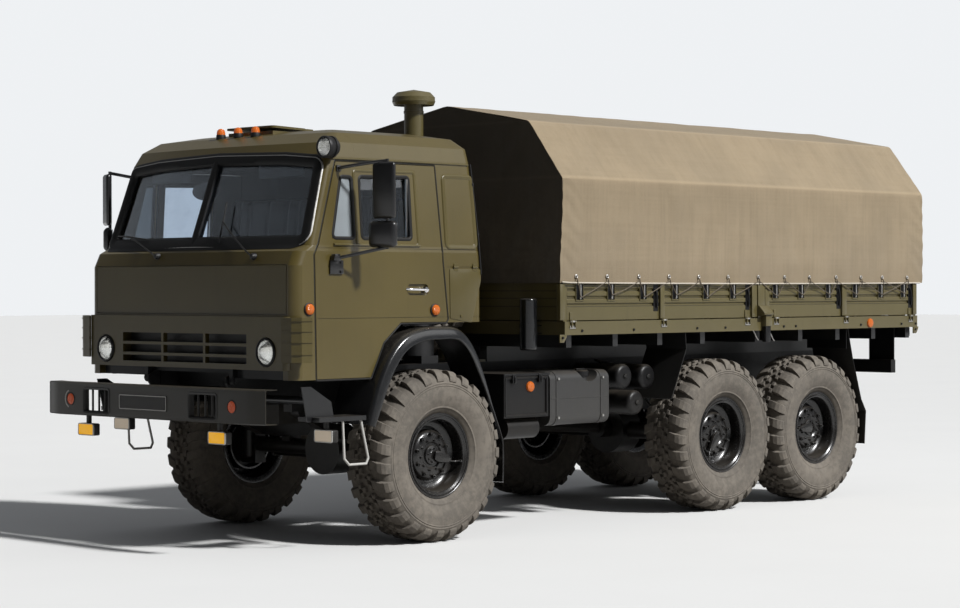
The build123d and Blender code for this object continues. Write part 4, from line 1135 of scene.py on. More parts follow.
def make_door_trim(settings):
    for side, sign in SIDES.items():
        place = on_side(sign)
        seam = band(f"door_seam_{side}", rounded_path(DOOR, 0.012, 0.08, 3),
            strip(0.013, -0.012, 0.0015, -0.001), place)
        fitted(seam, "cab", "rubber")
        body = f"door_{side}"
        rubbers = []
        for number, light in enumerate((QUARTER_LIGHT, DOOR_LIGHT)):
            path = rounded_path(light, 0.03, 0.06)
            rubbers.append(band(f"window_rubber_{number}", path, [(-0.016, -0.036), (-0.015, 0.0),
                (-0.008, 0.005), (0.004, 0.006), (0.01, 0.001)], place))
        fitted(merged(f"window_rubbers_{side}", rubbers), body, "rubber")
        frame_line = rounded_path([(0.79, 2.15), (0.79, 2.69), (0.18, 2.695), (0.168, 2.15)], 0.03, 0.06)
        lip = band(f"window_frame_{side}", frame_line, [(-0.02, -0.001), (-0.016, 0.004), (-0.004, 0.007),
            (0.004, 0.004), (0.008, -0.001)], place)
        ledge = prism("ledge", [place(x, z, h) for x, z, h in ((1.01, 2.168, 0), (1.01, 2.15, 0),
            (1.01, 2.152, 0.016), (1.01, 2.164, 0.014))], place(0.165, 2.16) - place(1.01, 2.16), 0.002, 1)
        fitted(merged(f"window_frame_{side}", [lip, ledge]), body, "olive")
        bars = [block("bar", place(0.262, 2.205, -0.03), place(0.252, 2.64, -0.018), 0.002, 1),
            block("sill", place(0.735, 2.203, -0.032), place(0.245, 2.211, -0.004), 0.002, 1)]
        fitted(merged(f"window_bars_{side}", bars), body, "steel")
        # The quarter pane's pale, half-clear glass is a painted sky reflection.
        fitted(quarter_pane(place), body, "hazy_glass")
        lever = tube("door_lever", [place(0.3, 1.845, -0.004), place(0.285, 1.842, 0.018),
            place(0.2, 1.84, 0.026), place(0.11, 1.838, 0.022)], 0.01, 3)
        barrel = turned("lever_boss", [(0, -0.012), (0.021, -0.012), (0.021, 0.02), (0.015, 0.026), (0, 0.027)],
            place(0.12, 1.838), "Y", 24, sign)
        fitted(merged(f"door_handle_{side}", [lever, smooth(barrel)]), body, "chrome")


def quarter_pane(place):
    """The door's front pane, set a little proud so that it catches the sky; its pale blue-grey, half-clear glass
    is a painted reflection of the sky.
    """

    def spot(u, v):
        front = 1.012 - 0.1 * v
        return place(front + (0.806 - front) * u, 2.206 + 0.428 * v, -0.014 + 0.006 * (1 - u))

    pane = cloth_grid("quarter_pane", 4, 8, spot)
    return modify(pane, "SOLIDIFY", thickness=0.004, offset=0.0)


def make_side_fittings(settings):
    """Drip rails, the rear panel's pressed frame, the locker lid with its hinges, and the round markers."""
    for side, sign in SIDES.items():
        place = on_side(sign)
        made = []
        rail = [place(x, z, 0.004) for x, z in ((0.985, 2.76), (0.9, 2.7625), (0.5, 2.764), (0.1, 2.764),
            (-0.38, 2.762))]
        made.append(tube("drip_rail", rail, 0.007, 2))
        frame_path = rounded_path([(-0.1, 2.138), (-0.095, 2.684), (-0.42, 2.684), (-0.436, 2.138)], 0.045,
            0.05)
        made.append(band("rear_panel", frame_path, [(-0.036, -0.002), (-0.03, 0.001), (-0.012, 0.008),
            (-0.004, 0.008), (0.003, 0.004), (0.006, -0.002)], place))
        lid = prism("locker_lid", [place(x, z, 0.0) for x, z in ((-0.14, 1.628), (-0.35, 1.596), (-0.365, 1.6),
            (-0.462, 1.905), (-0.462, 1.99), (-0.132, 1.99))], (0, sign * 0.005, 0), 0.003, 2)
        made.append(smooth(lid))
        for x in (-0.197, -0.396):
            made.append(tube("locker_hinge", [place(x + 0.026, 2.004, 0.006), place(x - 0.026, 2.004, 0.006)],
                0.008, 3, False))
            made.append(block("hinge_leaf", place(x + 0.022, 1.974, 0.003), place(x - 0.022, 2.03, 0.007),
                0.002, 1))
        made.append(turned("lid_catch", [(0, -0.002), (0.012, -0.002), (0.01, 0.012), (0, 0.012)],
            place(-0.25, 1.645), "Y", 16))
        fitted(merged(f"cab_side_fittings_{side}", made), "cab", "olive")
        pipe = tube("cab_pipe", [place(-0.405, 2.77, 0.004), place(-0.434, 2.4, 0.006),
            place(-0.452, 2.15, 0.006), place(-0.462, 1.95, 0.006)], 0.006, 2)
        clips = [block("clip", place(x - 0.008, z - 0.01, -0.002), place(x + 0.01, z + 0.01, 0.013), 0.002, 1)
            for x, z in ((-0.418, 2.62), (-0.445, 2.25))]
        fitted(merged(f"cab_pipe_{side}", [pipe] + clips), "cab", "plastic")
        marker_lamp(f"side_marker_front_{side}", place(1.25, 1.706), sign, "cab")
        marker_lamp(f"side_marker_door_{side}", place(0.02, 1.692, 0.001), sign, f"door_{side}")


def marker_lamp(name, spot, sign, body, radius=0.04):
    """A round side lamp: dark foot ring and a moulded dome."""
    foot = [(0, -0.002), (radius + 0.006, -0.002), (radius + 0.006, 0.006), (radius, 0.01), (0, 0.01)]
    dome = [(0, 0.008), (radius - 0.001, 0.008), (radius - 0.003, 0.018), (radius * 0.7, 0.025),
        (radius * 0.35, 0.028), (0, 0.029)]
    for label, profile, finish in (("foot", foot, "rubber"), ("dome", dome, "orange")):
        part = turned(f"{name}_{label}", profile, spot, "Y", 32, sign)
        fitted(smooth(part, 30), body, finish)


# Turned lamps: name, finish, steps, angle of smoothing, (radius, depth) profile, CAD nodes replaced
HEAD_LAMP = [("head_lamp_rings", "plastic", 48, 30, [(0, 0), (0.088, 0), (0.1, 0.06), (0.1, 0.126),
    (0.0965, 0.134), (0.089, 0.136), (0.085, 0.13), (0.086, 0.112), (0.07, 0.06), (0.03, 0.02), (0, 0.018)],
    "head_lamps"), ("head_lamp_bowls", "silver", 48, 40, [(0, 0.022), (0.03, 0.024), (0.062, 0.058),
    (0.082, 0.102), (0.0855, 0.112), (0.0845, 0.114), (0.06, 0.062), (0.028, 0.03), (0, 0.027)]),
    ("head_lamp_lenses", "lamp_glass", 48, 40, [(0, 0.118), (0.0845, 0.114), (0.0845, 0.122), (0.07, 0.134),
    (0.045, 0.143), (0.02, 0.147), (0, 0.148)]), ("head_lamp_bulbs", "silver", 16, 40,
    [(0, 0.028), (0.012, 0.03), (0.014, 0.06), (0.008, 0.074), (0, 0.076)])]
SEARCHLIGHT = [("searchlight_bezel", "plastic", 48, 35, [(0.066, 0.108), (0.078, 0.106), (0.078, 0.122),
    (0.074, 0.128), (0.068, 0.128), (0.064, 0.122)]), ("searchlight_bowl", "silver", 48, 35,
    [(0, 0.012), (0.026, 0.014), (0.05, 0.034), (0.065, 0.104), (0.063, 0.106), (0.048, 0.038), (0.024, 0.02),
    (0, 0.018)]), ("searchlight_lens", "lamp_glass", 48, 40, [(0, 0.118), (0.066, 0.112), (0.066, 0.12),
    (0.048, 0.13), (0.022, 0.136), (0, 0.137)])]
# Roof lamps: each part's profile as shares of radius and height; places with radius and height
BUMP = [(0, 0), (1, 0), (1, 0.35), (0.88, 0.6), (0.6, 0.76), (0, 0.82)]
FOOT = [(0, 0), (1, 0), (1, 0.35), (0.9, 0.42), (0, 0.42)]
DOME = [(0, 0.4), (0.9, 0.4), (0.88, 0.62), (0.74, 0.84), (0.42, 0.96), (0, 1)]
CORNER_LAMPS = [(at(0.868, y, 2.9), 0.032, 0.06) for y in (-0.87, 0.87)]
ROOF_LAMPS = [(at(0.9, -0.195, 2.955), 0.036, 0.079), (at(0.9, 0, 2.96), 0.036, 0.075),
    (at(0.9, 0.195, 2.955), 0.036, 0.079)]


def make_turned(table, spots):
    for name, finish, steps, angle, profile, *stands_for in table:
        parts = [turned(name, profile, spot, "X", steps) for spot in spots]
        joined(name, parts, "cab", finish, *stands_for, angle=angle)


def make_head_lamps(settings):
    make_turned(HEAD_LAMP, [at(1.3, y, 1.408) for y in (0.906, -0.906)])


def standing(name, shares, places):
    return [turned(name, [(r * radius, h * height) for r, h in shares], spot, "Z", 32) for spot, radius,
        height in places]


def make_roof_lamps(settings):
    feet = standing("bump", BUMP, CORNER_LAMPS) + standing("foot", FOOT, ROOF_LAMPS)
    joined("roof_lamp_feet", feet, "cab", "rubber", "roof_lamps")
    joined("roof_lamp_domes", standing("dome", DOME, ROOF_LAMPS), "cab", "orange", angle=40)
    spot = at(0.965, 1.14, 2.836)
    shell = turned("shell", [(0, 0), (0.03, 0.003), (0.058, 0.02), (0.072, 0.055), (0.078, 0.107),
        (0.072, 0.107), (0.066, 0.06), (0.052, 0.026), (0.026, 0.01), (0, 0.008)], spot, "X", 48)
    post = tube("post", [at(1.01, 1.085, 2.768), at(1.01, 1.1, 2.78), at(1.012, 1.118, 2.792)], 0.012, 3)
    yoke = turned("yoke", [(0.07, 0.05), (0.079, 0.05), (0.079, 0.066), (0.07, 0.066)], spot, "X", 32)
    joined("searchlight_body", [shell, post, yoke], "cab", "plastic")
    make_turned(SEARCHLIGHT, [spot])


BUMPER_FACE, SLOT_Y = 1.74, 0.605  # how far ahead the bumper's face is, and its openings' middles
TAIL_LAMP_Y = 1.055
BUMPER_PROFILE = [(-0.105, 0.923), (-0.008, 0.923), (0.0, 0.931), (0.0, 1.156), (-0.008, 1.164),
    (-0.105, 1.164), (-0.105, 1.158), (-0.012, 1.158), (-0.006, 1.151), (-0.006, 0.936), (-0.012, 0.929),
    (-0.105, 0.929)]
BUMPER_STATIONS = [-1.225, -1.2, -1.165, -1.12, -1.06, 1.06, 1.12, 1.165, 1.2, 1.225]


def make_bumper():
    """A pressed channel, open at its ends, with the two stepped openings cut through its face."""
    rows, columns = len(BUMPER_PROFILE), len(BUMPER_STATIONS) - 1

    def shape(u, v):
        y = BUMPER_STATIONS[round(u * columns)]
        depth, z = BUMPER_PROFILE[round(v * rows) % rows]
        return at(BUMPER_FACE + depth - 0.04 * eased(abs(y), 1.06, 1.26), y, z)

    beam = closed_up(cloth_grid("front_bumper_beam", columns, rows, shape))
    for sign in (1, -1):
        cutter = brick("opening", (1.7, 1.76), sign * SLOT_Y, 0.145, (0.955, 1.118))
        modify(beam, "BOOLEAN", object=cutter, operation="DIFFERENCE")
        bpy.data.objects.remove(cutter)
    fitted(smooth(beam, 35), "chassis", "bumper_paint", "front_bumper")


def make_bumper_fittings(settings):
    make_bumper()
    face = BUMPER_FACE
    rims = []

    def on_bumper(y, z, height):
        return at(face + height, y, z)

    for sign in (1, -1):
        middle = sign * SLOT_Y
        rims.append(band("slot_rim", rectangle((middle - 0.153, 0.947), (middle + 0.153, 1.126), 0.022, 0.1),
            [(-0.014, -0.04), (-0.012, 0.0), (-0.006, 0.005), (0.004, 0.005), (0.008, 0.0)], on_bumper))
        for y in (SLOT_Y - 0.075, SLOT_Y, SLOT_Y + 0.075):
            rims.append(brick("slot_bar", (face - 0.034, face - 0.02), sign * y, 0.006, (0.955, 1.118), 0.002,
                1))
        rims.append(brick("slot_back", (1.546, 1.552), sign * SLOT_Y, 0.17, (0.935, 1.14)))
    fitted(merged("bumper_slot_rims", rims), "chassis", "plastic")

    for side, sign in SIDES.items():
        spot = at(face, sign * 0.915, 1.04)
        foot = turned(f"bumper_lamp_foot_{side}", [(0, -0.058), (0.046, -0.056), (0.05, -0.006), (0.049, 0.002),
            (0.043, 0.003), (0.042, -0.004), (0, -0.006)], spot, "X", 40)
        hanger = brick("hanger", (face - 0.06, face - 0.05), sign * 0.915, 0.02, (1.04, 1.158))
        joined(f"bumper_lamp_foot_{side}", [foot, hanger], "chassis", "plastic")
        dome = turned(f"bumper_lamp_{side}", [(0, -0.007), (0.0425, -0.007), (0.0425, -0.001), (0.034, 0.003),
            (0.018, 0.0055), (0, 0.006)], spot, "X", 40)
        fitted(smooth(dome, 40), "chassis", "red_orange")
    arc = [Vector((-0.915 - 0.064 * math.sin(a), 1.04 + 0.064 * math.cos(a)))
        for a in [math.radians(d) for d in range(20, 161, 10)]]
    mark = band("bumper_arc", arc, [(-0.005, 0.0), (-0.005, 0.0012), (0.005, 0.0012), (0.005, 0.0)], on_bumper,
        False)
    fitted(mark, "chassis", "white")

    plate = block("number_plate", at(face, -0.332, 0.984), at(face + 0.004, 0.212, 1.094), 0.001, 1)
    fitted(plate, "chassis", "plastic")
    edge = band("plate_border", rectangle((-0.326, 0.99), (0.206, 1.088), 0.008, 0.2, 3),
        [(-0.003, 0.003), (-0.003, 0.0052), (0.003, 0.0052), (0.003, 0.003)], on_bumper)
    fitted(edge, "chassis", "white")

    houses, rings, yellow, clear = [], [], [], []
    for sign in (1, -1):
        for x, y, lens in ((1.735, 0.745, yellow), (1.105, 1.14, clear)):
            low, high = 0.775, 0.868
            y *= sign
            houses.append(brick("fog_house", (x - 0.068, x - 0.008), y, 0.093, (low + 0.002, high - 0.002),
                0.012, 3))
            houses.append(brick("fog_foot", (x - 0.05, x - 0.02), y, 0.014, (high - 0.004, 0.922), 0.002, 1))
            frame_path = rectangle((y - 0.088, low + 0.006), (y + 0.088, high - 0.006), 0.012, 0.2, 4)
            rings.append(band("fog_ring", frame_path, strip(0.007, -0.012, -0.001, -0.003), lambda a, b, h,
                ahead=x: at(ahead + h, a, b)))
            lens.append(brick("fog_lens", (x - 0.012, x - 0.003), y, 0.085, (low + 0.009, high - 0.009), 0.004,
                2))
    for sign in (1, -1):
        houses.append(brick("tail_lamp", (-6.118, -6.07), sign * TAIL_LAMP_Y, 0.125, (1.402, 1.486), 0.008, 2))
    joined("lamp_houses", houses, "chassis", "plastic", "chassis_lamps")
    joined("lamp_rings", rings, "chassis", "steel")
    joined("fog_lenses", yellow, "chassis", "amber")
    joined("side_lenses", clear, "chassis", "clear_lens")
    for name, low, high in (("red", -0.08, 0.035), ("orange", 0.04, 0.118)):
        lenses = [block("tail_lens", at(-6.124, sign * TAIL_LAMP_Y + (low if sign > 0 else -high), 1.41),
            at(-6.112, sign * TAIL_LAMP_Y + (high if sign > 0 else -low), 1.478), 0.003, 2) for sign in (1, -1)]
        joined(f"tail_lenses_{name}", lenses, "chassis", name)


def mirror_head(name, centre, size, turn, edge):
    """A mirror's round-backed shell with its glass facing the rear."""
    depth, width, height = size
    shell = block(name, (-depth / 2, -width / 2, -height / 2), (depth / 2, width / 2, height / 2))
    shell = rounded(shell, edge, 5)
    for vertex in shell.data.vertices:
        if vertex.co.x > 0:
            far = max(abs(vertex.co.y) / (width / 2), abs(vertex.co.z) / (height / 2)) ** 3
            vertex.co.x *= 1 - 0.45 * min(1.0, far)
    glass = block(name + "_glass", (-depth / 2 - 0.0015, -width / 2 + 0.014, -height / 2 + 0.014),
        (-depth / 2 + 0.004, width / 2 - 0.014, height / 2 - 0.014), 0.0015, 1)
    place = Matrix.Translation(centre) @ Matrix.Rotation(math.radians(turn), 4, "Z")
    for obj in (shell, glass):
        obj.data.transform(place)
    return smooth(shell, 40), glass


MIRROR_Y = 1.4
# Mirror table: side, sign, distance ahead, turn of the heads about a vertical, degrees
MIRRORS = [("left", 1, 0.76, 8), ("right", -1, 1.04, -28)]


def make_mirrors(settings):
    for side, sign, x, turn in MIRRORS:
        y = sign * MIRROR_Y
        shells, glasses = [], []
        for label, inward, z, size, more, edge in (("main", 0.0, 2.535, (0.05, 0.196, 0.396), 0, 0.024),
                ("wide", 0.012, 2.228, (0.074, 0.218, 0.186), 10, 0.036)):
            shell, glass = mirror_head(f"mirror_{label}", at(x, y - sign * inward, z), size, turn + sign * more,
                edge)
            shells.append(shell)
            glasses.append(glass)
        back = x - 0.032
        shells.append(tube("stalk", [at(back, y, 2.124), at(back, y, 2.45), at(back, y, 2.756)], 0.0125, 3))
        shells.append(tube("upper_arm", [at(back, y, 2.742), at(back + 0.02, y - sign * 0.03, 2.742),
            at(0.935, sign * 1.19, 2.702), at(0.928, sign * 1.12, 2.694)], 0.0125, 3))
        shells.append(tube("lower_arm", [at(back, y, 2.138), at(back + 0.03, y - sign * 0.02, 2.13),
            at(1.0, sign * 1.222, 2.066), at(1.005, sign * 1.17, 2.06)], 0.0125, 3))
        place = on_side(sign)
        shells.append(block("lower_foot", place(0.935, 1.95, 0.001), place(1.06, 2.048, 0.016), 0.004, 2))
        for z in (1.965, 2.033):
            shells.append(turned("foot_bolt", [(0, 0), (0.01, 0), (0.01, 0.008), (0, 0.008)],
                place(0.96, z, 0.016), "Y", 6, sign))
        shells.append(prism("lower_ear", [place(x, z, 0.012) for x,
            z in ((0.99, 2.045), (1.06, 2.045), (1.045, 2.09), (1.0, 2.09))], (0, sign * 0.04, 0), 0.003))
        shells.append(block("upper_foot", place(0.905, 2.672, 0.001), place(0.95, 2.716, 0.014), 0.003, 2))
        joined(f"mirror_arms_{side}", shells, f"door_{side}", "mirror_black", f"mirror_{side}", angle=40)
        fitted(merged(f"mirror_glass_{side}", glasses), f"door_{side}", "mirror")


# Cab interior


def swollen(obj, reach, flat_below=None):
    """Lets a closed form swell as stuffed cloth does, no point further than a reach."""
    start = [vertex.co.copy() for vertex in obj.data.vertices]
    only(obj)
    cloth = obj.modifiers.new("stuffing", "CLOTH")
    cloth.settings.use_pressure = True
    cloth.settings.uniform_pressure_force = 4
    cloth.settings.effector_weights.gravity = 0
    cloth.settings.quality = 4
    for frame in range(1, 21):
        bpy.context.scene.frame_set(frame)
    bpy.ops.object.modifier_apply(modifier=cloth.name)
    bpy.context.scene.frame_set(1)
    for vertex, old in zip(obj.data.vertices, start):
        moved = vertex.co - old
        if moved.length > reach:
            vertex.co = old + moved.normalized() * reach
        if flat_below is not None and vertex.co.z < flat_below:
            vertex.co.z = flat_below
    return obj


def channelled(obj, places, axis, side, depth=0.01, width=0.013):
    """Sewn channels: narrow grooves across one side of a cushion."""
    index = "XYZ".index(axis)
    for vertex in obj.data.vertices:
        face = vertex.normal.dot(side)
        if face > 0.35:
            near = min(abs(vertex.co[index] - spot) for spot in places)
            vertex.co -= side * depth * math.exp(-(near / width) ** 2) * face
    return obj


def cushion(name, corners, along, voxel, reach, base=None, channels=(), side=(0, 0, 1)):
    """A cushion from its side outline, pulled along Y, remeshed, swollen and sewn."""
    obj = prism(name, corners, along, 0.035, 3)
    only(obj)
    obj.data.remesh_voxel_size = voxel
    bpy.ops.object.voxel_remesh()
    obj = swollen(obj, reach, base)
    if channels:
        channelled(obj, channels, "Y", Vector(side))
    obj = modify(obj, "SUBSURF", levels=1, render_levels=1)
    return smooth(obj, 60)


SEATS = [{"name": "driver_seat", "low": 0.372, "high": 0.868, "channels": [0.5, 0.62, 0.74]},
    {"name": "crew_seat", "low": -0.988, "high": -0.072, "channels": [-0.87, -0.75, -0.53, -0.31, -0.19]},]


def make_seats(settings):
    stands, piping, stands_for = [], [], ["cab_seats"]
    for seat in SEATS:
        low, width = seat["low"], seat["high"] - seat["low"]
        pad = cushion(f"{seat['name']}_pad", [at(x, low, z) for x,
            z in ((0.165, 1.872), (0.165, 1.962), (0.3, 1.968), (0.52, 1.976), (0.625, 1.962), (0.625, 1.872))],
            (0, width, 0), 0.013, 0.016, 1.868, seat["channels"])
        back = cushion(f"{seat['name']}_back", [at(x, low, z) for x,
            z in ((0.098, 1.985), (0.168, 1.985), (0.158, 2.2), (0.128, 2.545), (0.078, 2.545))], (0, width, 0),
            0.013, 0.012, None, seat["channels"], (1, 0, 0))
        for part in (pad, back):
            fitted(part, "cab", "leather", *stands_for)
            stands_for = []
        piping.append(tube("pad_piping", [at(0.18, low + 0.012, 1.968), at(0.612, low + 0.012, 1.97),
            at(0.612, low + width - 0.012, 1.97), at(0.18, low + width - 0.012, 1.968)], 0.006, 2, True, True))
        stands.append(block("seat_stand", at(0.16, low + 0.02, 1.645), at(0.618, low + width - 0.02, 1.868),
            0.012, 3))
        for edge in (low + 0.05, low + width - 0.09):
            stands.append(block("seat_rail", at(0.15, edge, 1.64), at(0.64, edge + 0.04, 1.662), 0.004))
    bunk = cushion("bunk_pad", [at(x, -1.08, z) for x, z in ((-0.405, 1.965), (-0.405, 2.04), (0.005, 2.04),
        (0.005, 1.965))], (0, 2.16, 0), 0.026, 0.015, 1.962, [-0.72, -0.36, 0.0, 0.36, 0.72])
    fitted(bunk, "cab", "leather")
    stands.append(block("bunk_base", at(-0.398, -1.075, 1.645), at(-0.002, 1.075, 1.962), 0.01))
    joined("seat_stands", stands, "cab", "plastic")
    fitted(merged("seat_piping", piping), "cab", "leather")


def make_dashboard(settings):
    """Instrument hood, dials, switches, column levers and the far side's grab bar."""
    dark, pale, bright = [], [], []
    hood = prism("hood", [at(x, 0.33, z) for x, z in ((1.15, 2.09), (1.13, 2.165), (1.045, 2.18), (1.03, 2.165),
        (1.052, 2.15), (1.07, 2.04))], (0, 0.54, 0), 0.012, 3)
    dark.append(hood)
    for y, radius in ((0.42, 0.045), (0.53, 0.062), (0.68, 0.062), (0.79, 0.045)):
        spot = at(1.062, y, 2.093)
        rim = turned("dial_rim", [(radius, 0.0), (radius + 0.006, 0.0), (radius + 0.005, -0.012),
            (radius, -0.012)], spot, "X", 40)
        bright.append(rim)
        dark.append(turned("dial_face", [(0, -0.003), (radius, -0.003), (radius, 0.01), (0, 0.01)], spot, "X",
            40))
        for k in range(11):
            angle = math.radians(-120 + 24 * k)
            inner, outer = radius * 0.74, radius * 0.9
            pale.append(tube("dial_mark", [spot + Vector((-0.0045, r * math.sin(angle), r * math.cos(angle)))
                for r in (inner, outer)], 0.0014, 1, False))
        swing = math.radians(-70 + 400 * (y - 0.4))
        pale.append(tube("dial_hand", [spot + Vector((-0.006, 0, 0)),
            spot + Vector((-0.006, radius * 0.7 * math.sin(swing), radius * 0.7 * math.cos(swing)))], 0.0018, 1,
            False))
    for z in (1.985, 1.955):
        for k in range(9):
            y = 0.24 - 0.052 * k
            dark.append(brick("switch", (1.026, 1.044), y, 0.018, (z - 0.01, z + 0.01), 0.003))
    bright.append(tube("grab_bar", [at(1.05, -0.95, 2.0), at(0.99, -0.94, 2.01), at(0.985, -0.75, 2.012),
        at(0.985, -0.55, 2.012), at(0.99, -0.42, 2.01), at(1.05, -0.41, 2.0)], 0.011, 3))
    dark.append(block("glove_box", at(1.034, -0.92, 1.935), at(1.046, -0.44, 1.975), 0.004))
    for sign in (1, -1):
        dark.append(tube("column_lever", [at(0.975, 0.6 + sign * 0.03, 2.0), at(0.955, 0.6 + sign * 0.12, 2.03),
            at(0.945, 0.6 + sign * 0.21, 2.042)], 0.006, 2))
    joined("dash_panel", dark, "cab", "plastic")
    fitted(merged("dial_marks", pale), "cab", "white", slot="black_plastic")
    joined("dash_rims", bright, "cab", "steel")
    visors = [brick("sun_visor", (1.01, 1.024), sign * 0.62, 0.24, (2.64, 2.77), 0.006, 3) for sign in (1, -1)]
    joined("sun_visors", visors, "cab", "plastic")
    mirror = turned("inner_mirror", [(0, 0), (0.05, -0.004), (0.052, -0.014), (0.03, -0.022), (0, -0.024)],
        at(1.13, -0.1, 2.56), "X", 32)
    only(mirror)
    bpy.ops.transform.resize(value=(1, 3.0, 1.3), center_override=at(1.13, -0.1, 2.56))
    bpy.ops.object.transform_apply(location=False, rotation=False, scale=True)
    fitted(smooth(mirror), "cab", "plastic")


# Bed and cover fittings

TIE_BARS = [-1.493, -1.866, -2.258, -2.662, -3.062, -3.418, -4.005, -4.37, -4.772, -5.176, -5.572, -5.929]
EYELETS = [-1.437, -1.801, -2.183, -2.561, -2.943, -3.333, -3.744, -4.11, -4.469, -4.864, -5.24, -5.572, -5.969]
POSTS = [(-1.252, -1.304), (-2.455, -2.508), (-3.659, -3.728), (-3.84, -3.901), (-4.959, -5.025),
    (-6.071, -6.128)]
LATCHES = [-2.416, -3.62, -4.926, -6.045]
BOARD_HINGES = [-1.389, -2.493, -3.591, -3.989, -5.007, -6.021]
RAIL_BOLTS = [-1.499, -2.117, -2.918, -3.289, -4.095, -4.267, -5.235, -5.871, -6.1]
EDGE_Y = 1.25


# Side board blocks: group, part, places, then its reach in x from a place, y, z, bevel width and steps
# The tie pockets are near-black blocks behind the tie bars: painted shadow of the bars on the boards.
BED_BLOCKS = [("dark", "tie_bar_shade_pocket", TIE_BARS, (-0.044, 0.04), (1.2, 1.2295), (1.757, 1.884), 0.002, 1),
    ("olive", "pocket_lip", TIE_BARS, (-0.047, -0.04), (1.205, 1.2345), (1.75, 1.884), 0.002, 1),
    ("olive", "pocket_lip", TIE_BARS, (0.04, 0.047), (1.205, 1.2345), (1.75, 1.884), 0.002, 1),
    ("olive", "pocket_sill", TIE_BARS, (-0.047, 0.047), (1.205, 1.2345), (1.746, 1.757), 0.002, 1),
    ("dark", "latch_plate", LATCHES, (-0.03, 0.03), (1.2, 1.231), (1.662, 1.882), 0.003, 1),
    ("olive", "hinge_strap", BOARD_HINGES, (-0.014, 0.014), (1.222, 1.236), (1.59, 1.664), 0.003, 2),
    ("olive", "hinge_eye", BOARD_HINGES, (-0.013, 0.013), (1.228, 1.262), (1.582, 1.602), 0.004, 2),
    ("olive", "hinge_lug", BOARD_HINGES, (-0.026, -0.016), (1.24, 1.267), (1.545, 1.604), 0.003, 2),
    ("olive", "hinge_lug", BOARD_HINGES, (0.016, 0.026), (1.24, 1.267), (1.545, 1.604), 0.003, 2),
    ("bright", "hinge_foot", BOARD_HINGES, (-0.034, 0.034), (1.249, 1.257), (1.536, 1.56), 0.003, 2),
    ("olive", "middle_post", [-3.736], (-0.095, 0), (1.205, 1.252), (1.595, 1.882), 0.005, 2),
    ("olive", "step_body", [-3.782], (-0.084, 0), (1.245, 1.3), (1.525, 1.64), 0.006, 2),
    ("dark", "step_shank", [-3.79], (-0.07, 0), (1.25, 1.292), (1.392, 1.53), 0.006, 2)]
# Side board bars: group, part, places, points from a place, radius, sides, round corners
BED_BARS = [("bright", "tie_bar", TIE_BARS, [(0, 1.226, 1.764), (0, 1.24, 1.766), (0, 1.242, 1.775),
    (0, 1.242, 1.83), (0, 1.242, 1.872), (0, 1.238, 1.882)], 0.0065, 2, True),
    ("dark", "latch_lever", LATCHES, [(0.008, 1.232, 1.84), (0.004, 1.245, 1.8), (-0.004, 1.245, 1.73),
    (-0.006, 1.236, 1.69)], 0.008, 2, True), ("bright", "hinge_pin", BOARD_HINGES,
    [(0.03, 1.256, 1.592), (-0.03, 1.256, 1.592)], 0.009, 3, False)]


def side_block(name, x, y, z, edge=0.003, steps=2):
    return block(name, at(x[0], y[0], z[0]), at(x[1], y[1], z[1]), edge, steps)


def make_bed_fittings(settings):
    groups = {"olive": [side_block("post", x, (1.205, 1.247), (1.602, 1.882), 0.005) for x in POSTS],
        "dark": [], "bright": []}
    for group, part, places, reach, y, z, edge, steps in BED_BLOCKS:
        groups[group] += [side_block(part, (x + reach[0], x + reach[1]), y, z, edge, steps) for x in places]
    for group, part, places, points, radius, sides, soft in BED_BARS:
        groups[group] += [tube(part, [at(x + ahead, y, z) for ahead, y, z in points], radius, sides, soft)
            for x in places]
    olive, dark, bright = groups.values()
    for x in RAIL_BOLTS:
        dark.append(turned("rail_bolt", [(0, -0.004), (0.011, -0.004), (0.011, 0.007), (0.008, 0.01),
            (0, 0.01)], at(x, EDGE_Y, 1.52), "Y", 6))
    for x in (-1.275, -6.1):
        olive.append(prism("corner_plate", [at(x + a, 1.236, z) for a,
            z in ((0.028, 1.492), (-0.055, 1.492), (-0.05, 1.47), (-0.02, 1.43), (0.028, 1.43))], (0, 0.012, 0),
            0.003))
        dark.append(turned("corner_bolt", [(0, 0), (0.01, 0), (0.01, 0.014), (0, 0.016)], at(x, 1.245, 1.468),
            "Y", 6))
    olive.append(prism("middle_step", [at(-3.736, y, z) for y, z in ((1.25, 1.7), (1.262, 1.698), (1.318, 1.64),
        (1.318, 1.622), (1.25, 1.612))], (-0.126, 0, 0), 0.003))
    for x, z in ((-3.67, 1.5), (-3.893, 1.49)):
        bright.append(tube("hook_chain", [at(x, 1.24, z), at(x - 0.01, 1.262, z - 0.04),
            at(x - 0.03, 1.262, z - 0.075), at(x - 0.06, 1.256, z - 0.09)], 0.005, 2))
    mark = turned("bed_marker", [(0, -0.002), (0.04, -0.002), (0.04, 0.008), (0.036, 0.014), (0.02, 0.018),
        (0, 0.019)], at(-5.373, EDGE_Y, 1.533), "Y", 32)
    fitted(both_sides("bed_marker", smooth(mark, 30)), "chassis", "orange")
    for name, parts, finish in (("bed_posts_and_hinges", olive, "bed_olive"),
            ("bed_shade_pockets_and_bolts", dark, "black_paint"), ("bed_bars_and_pins", bright, "steel")):
        fitted(both_sides(name, smooth(merged(name, parts))), "chassis", finish)


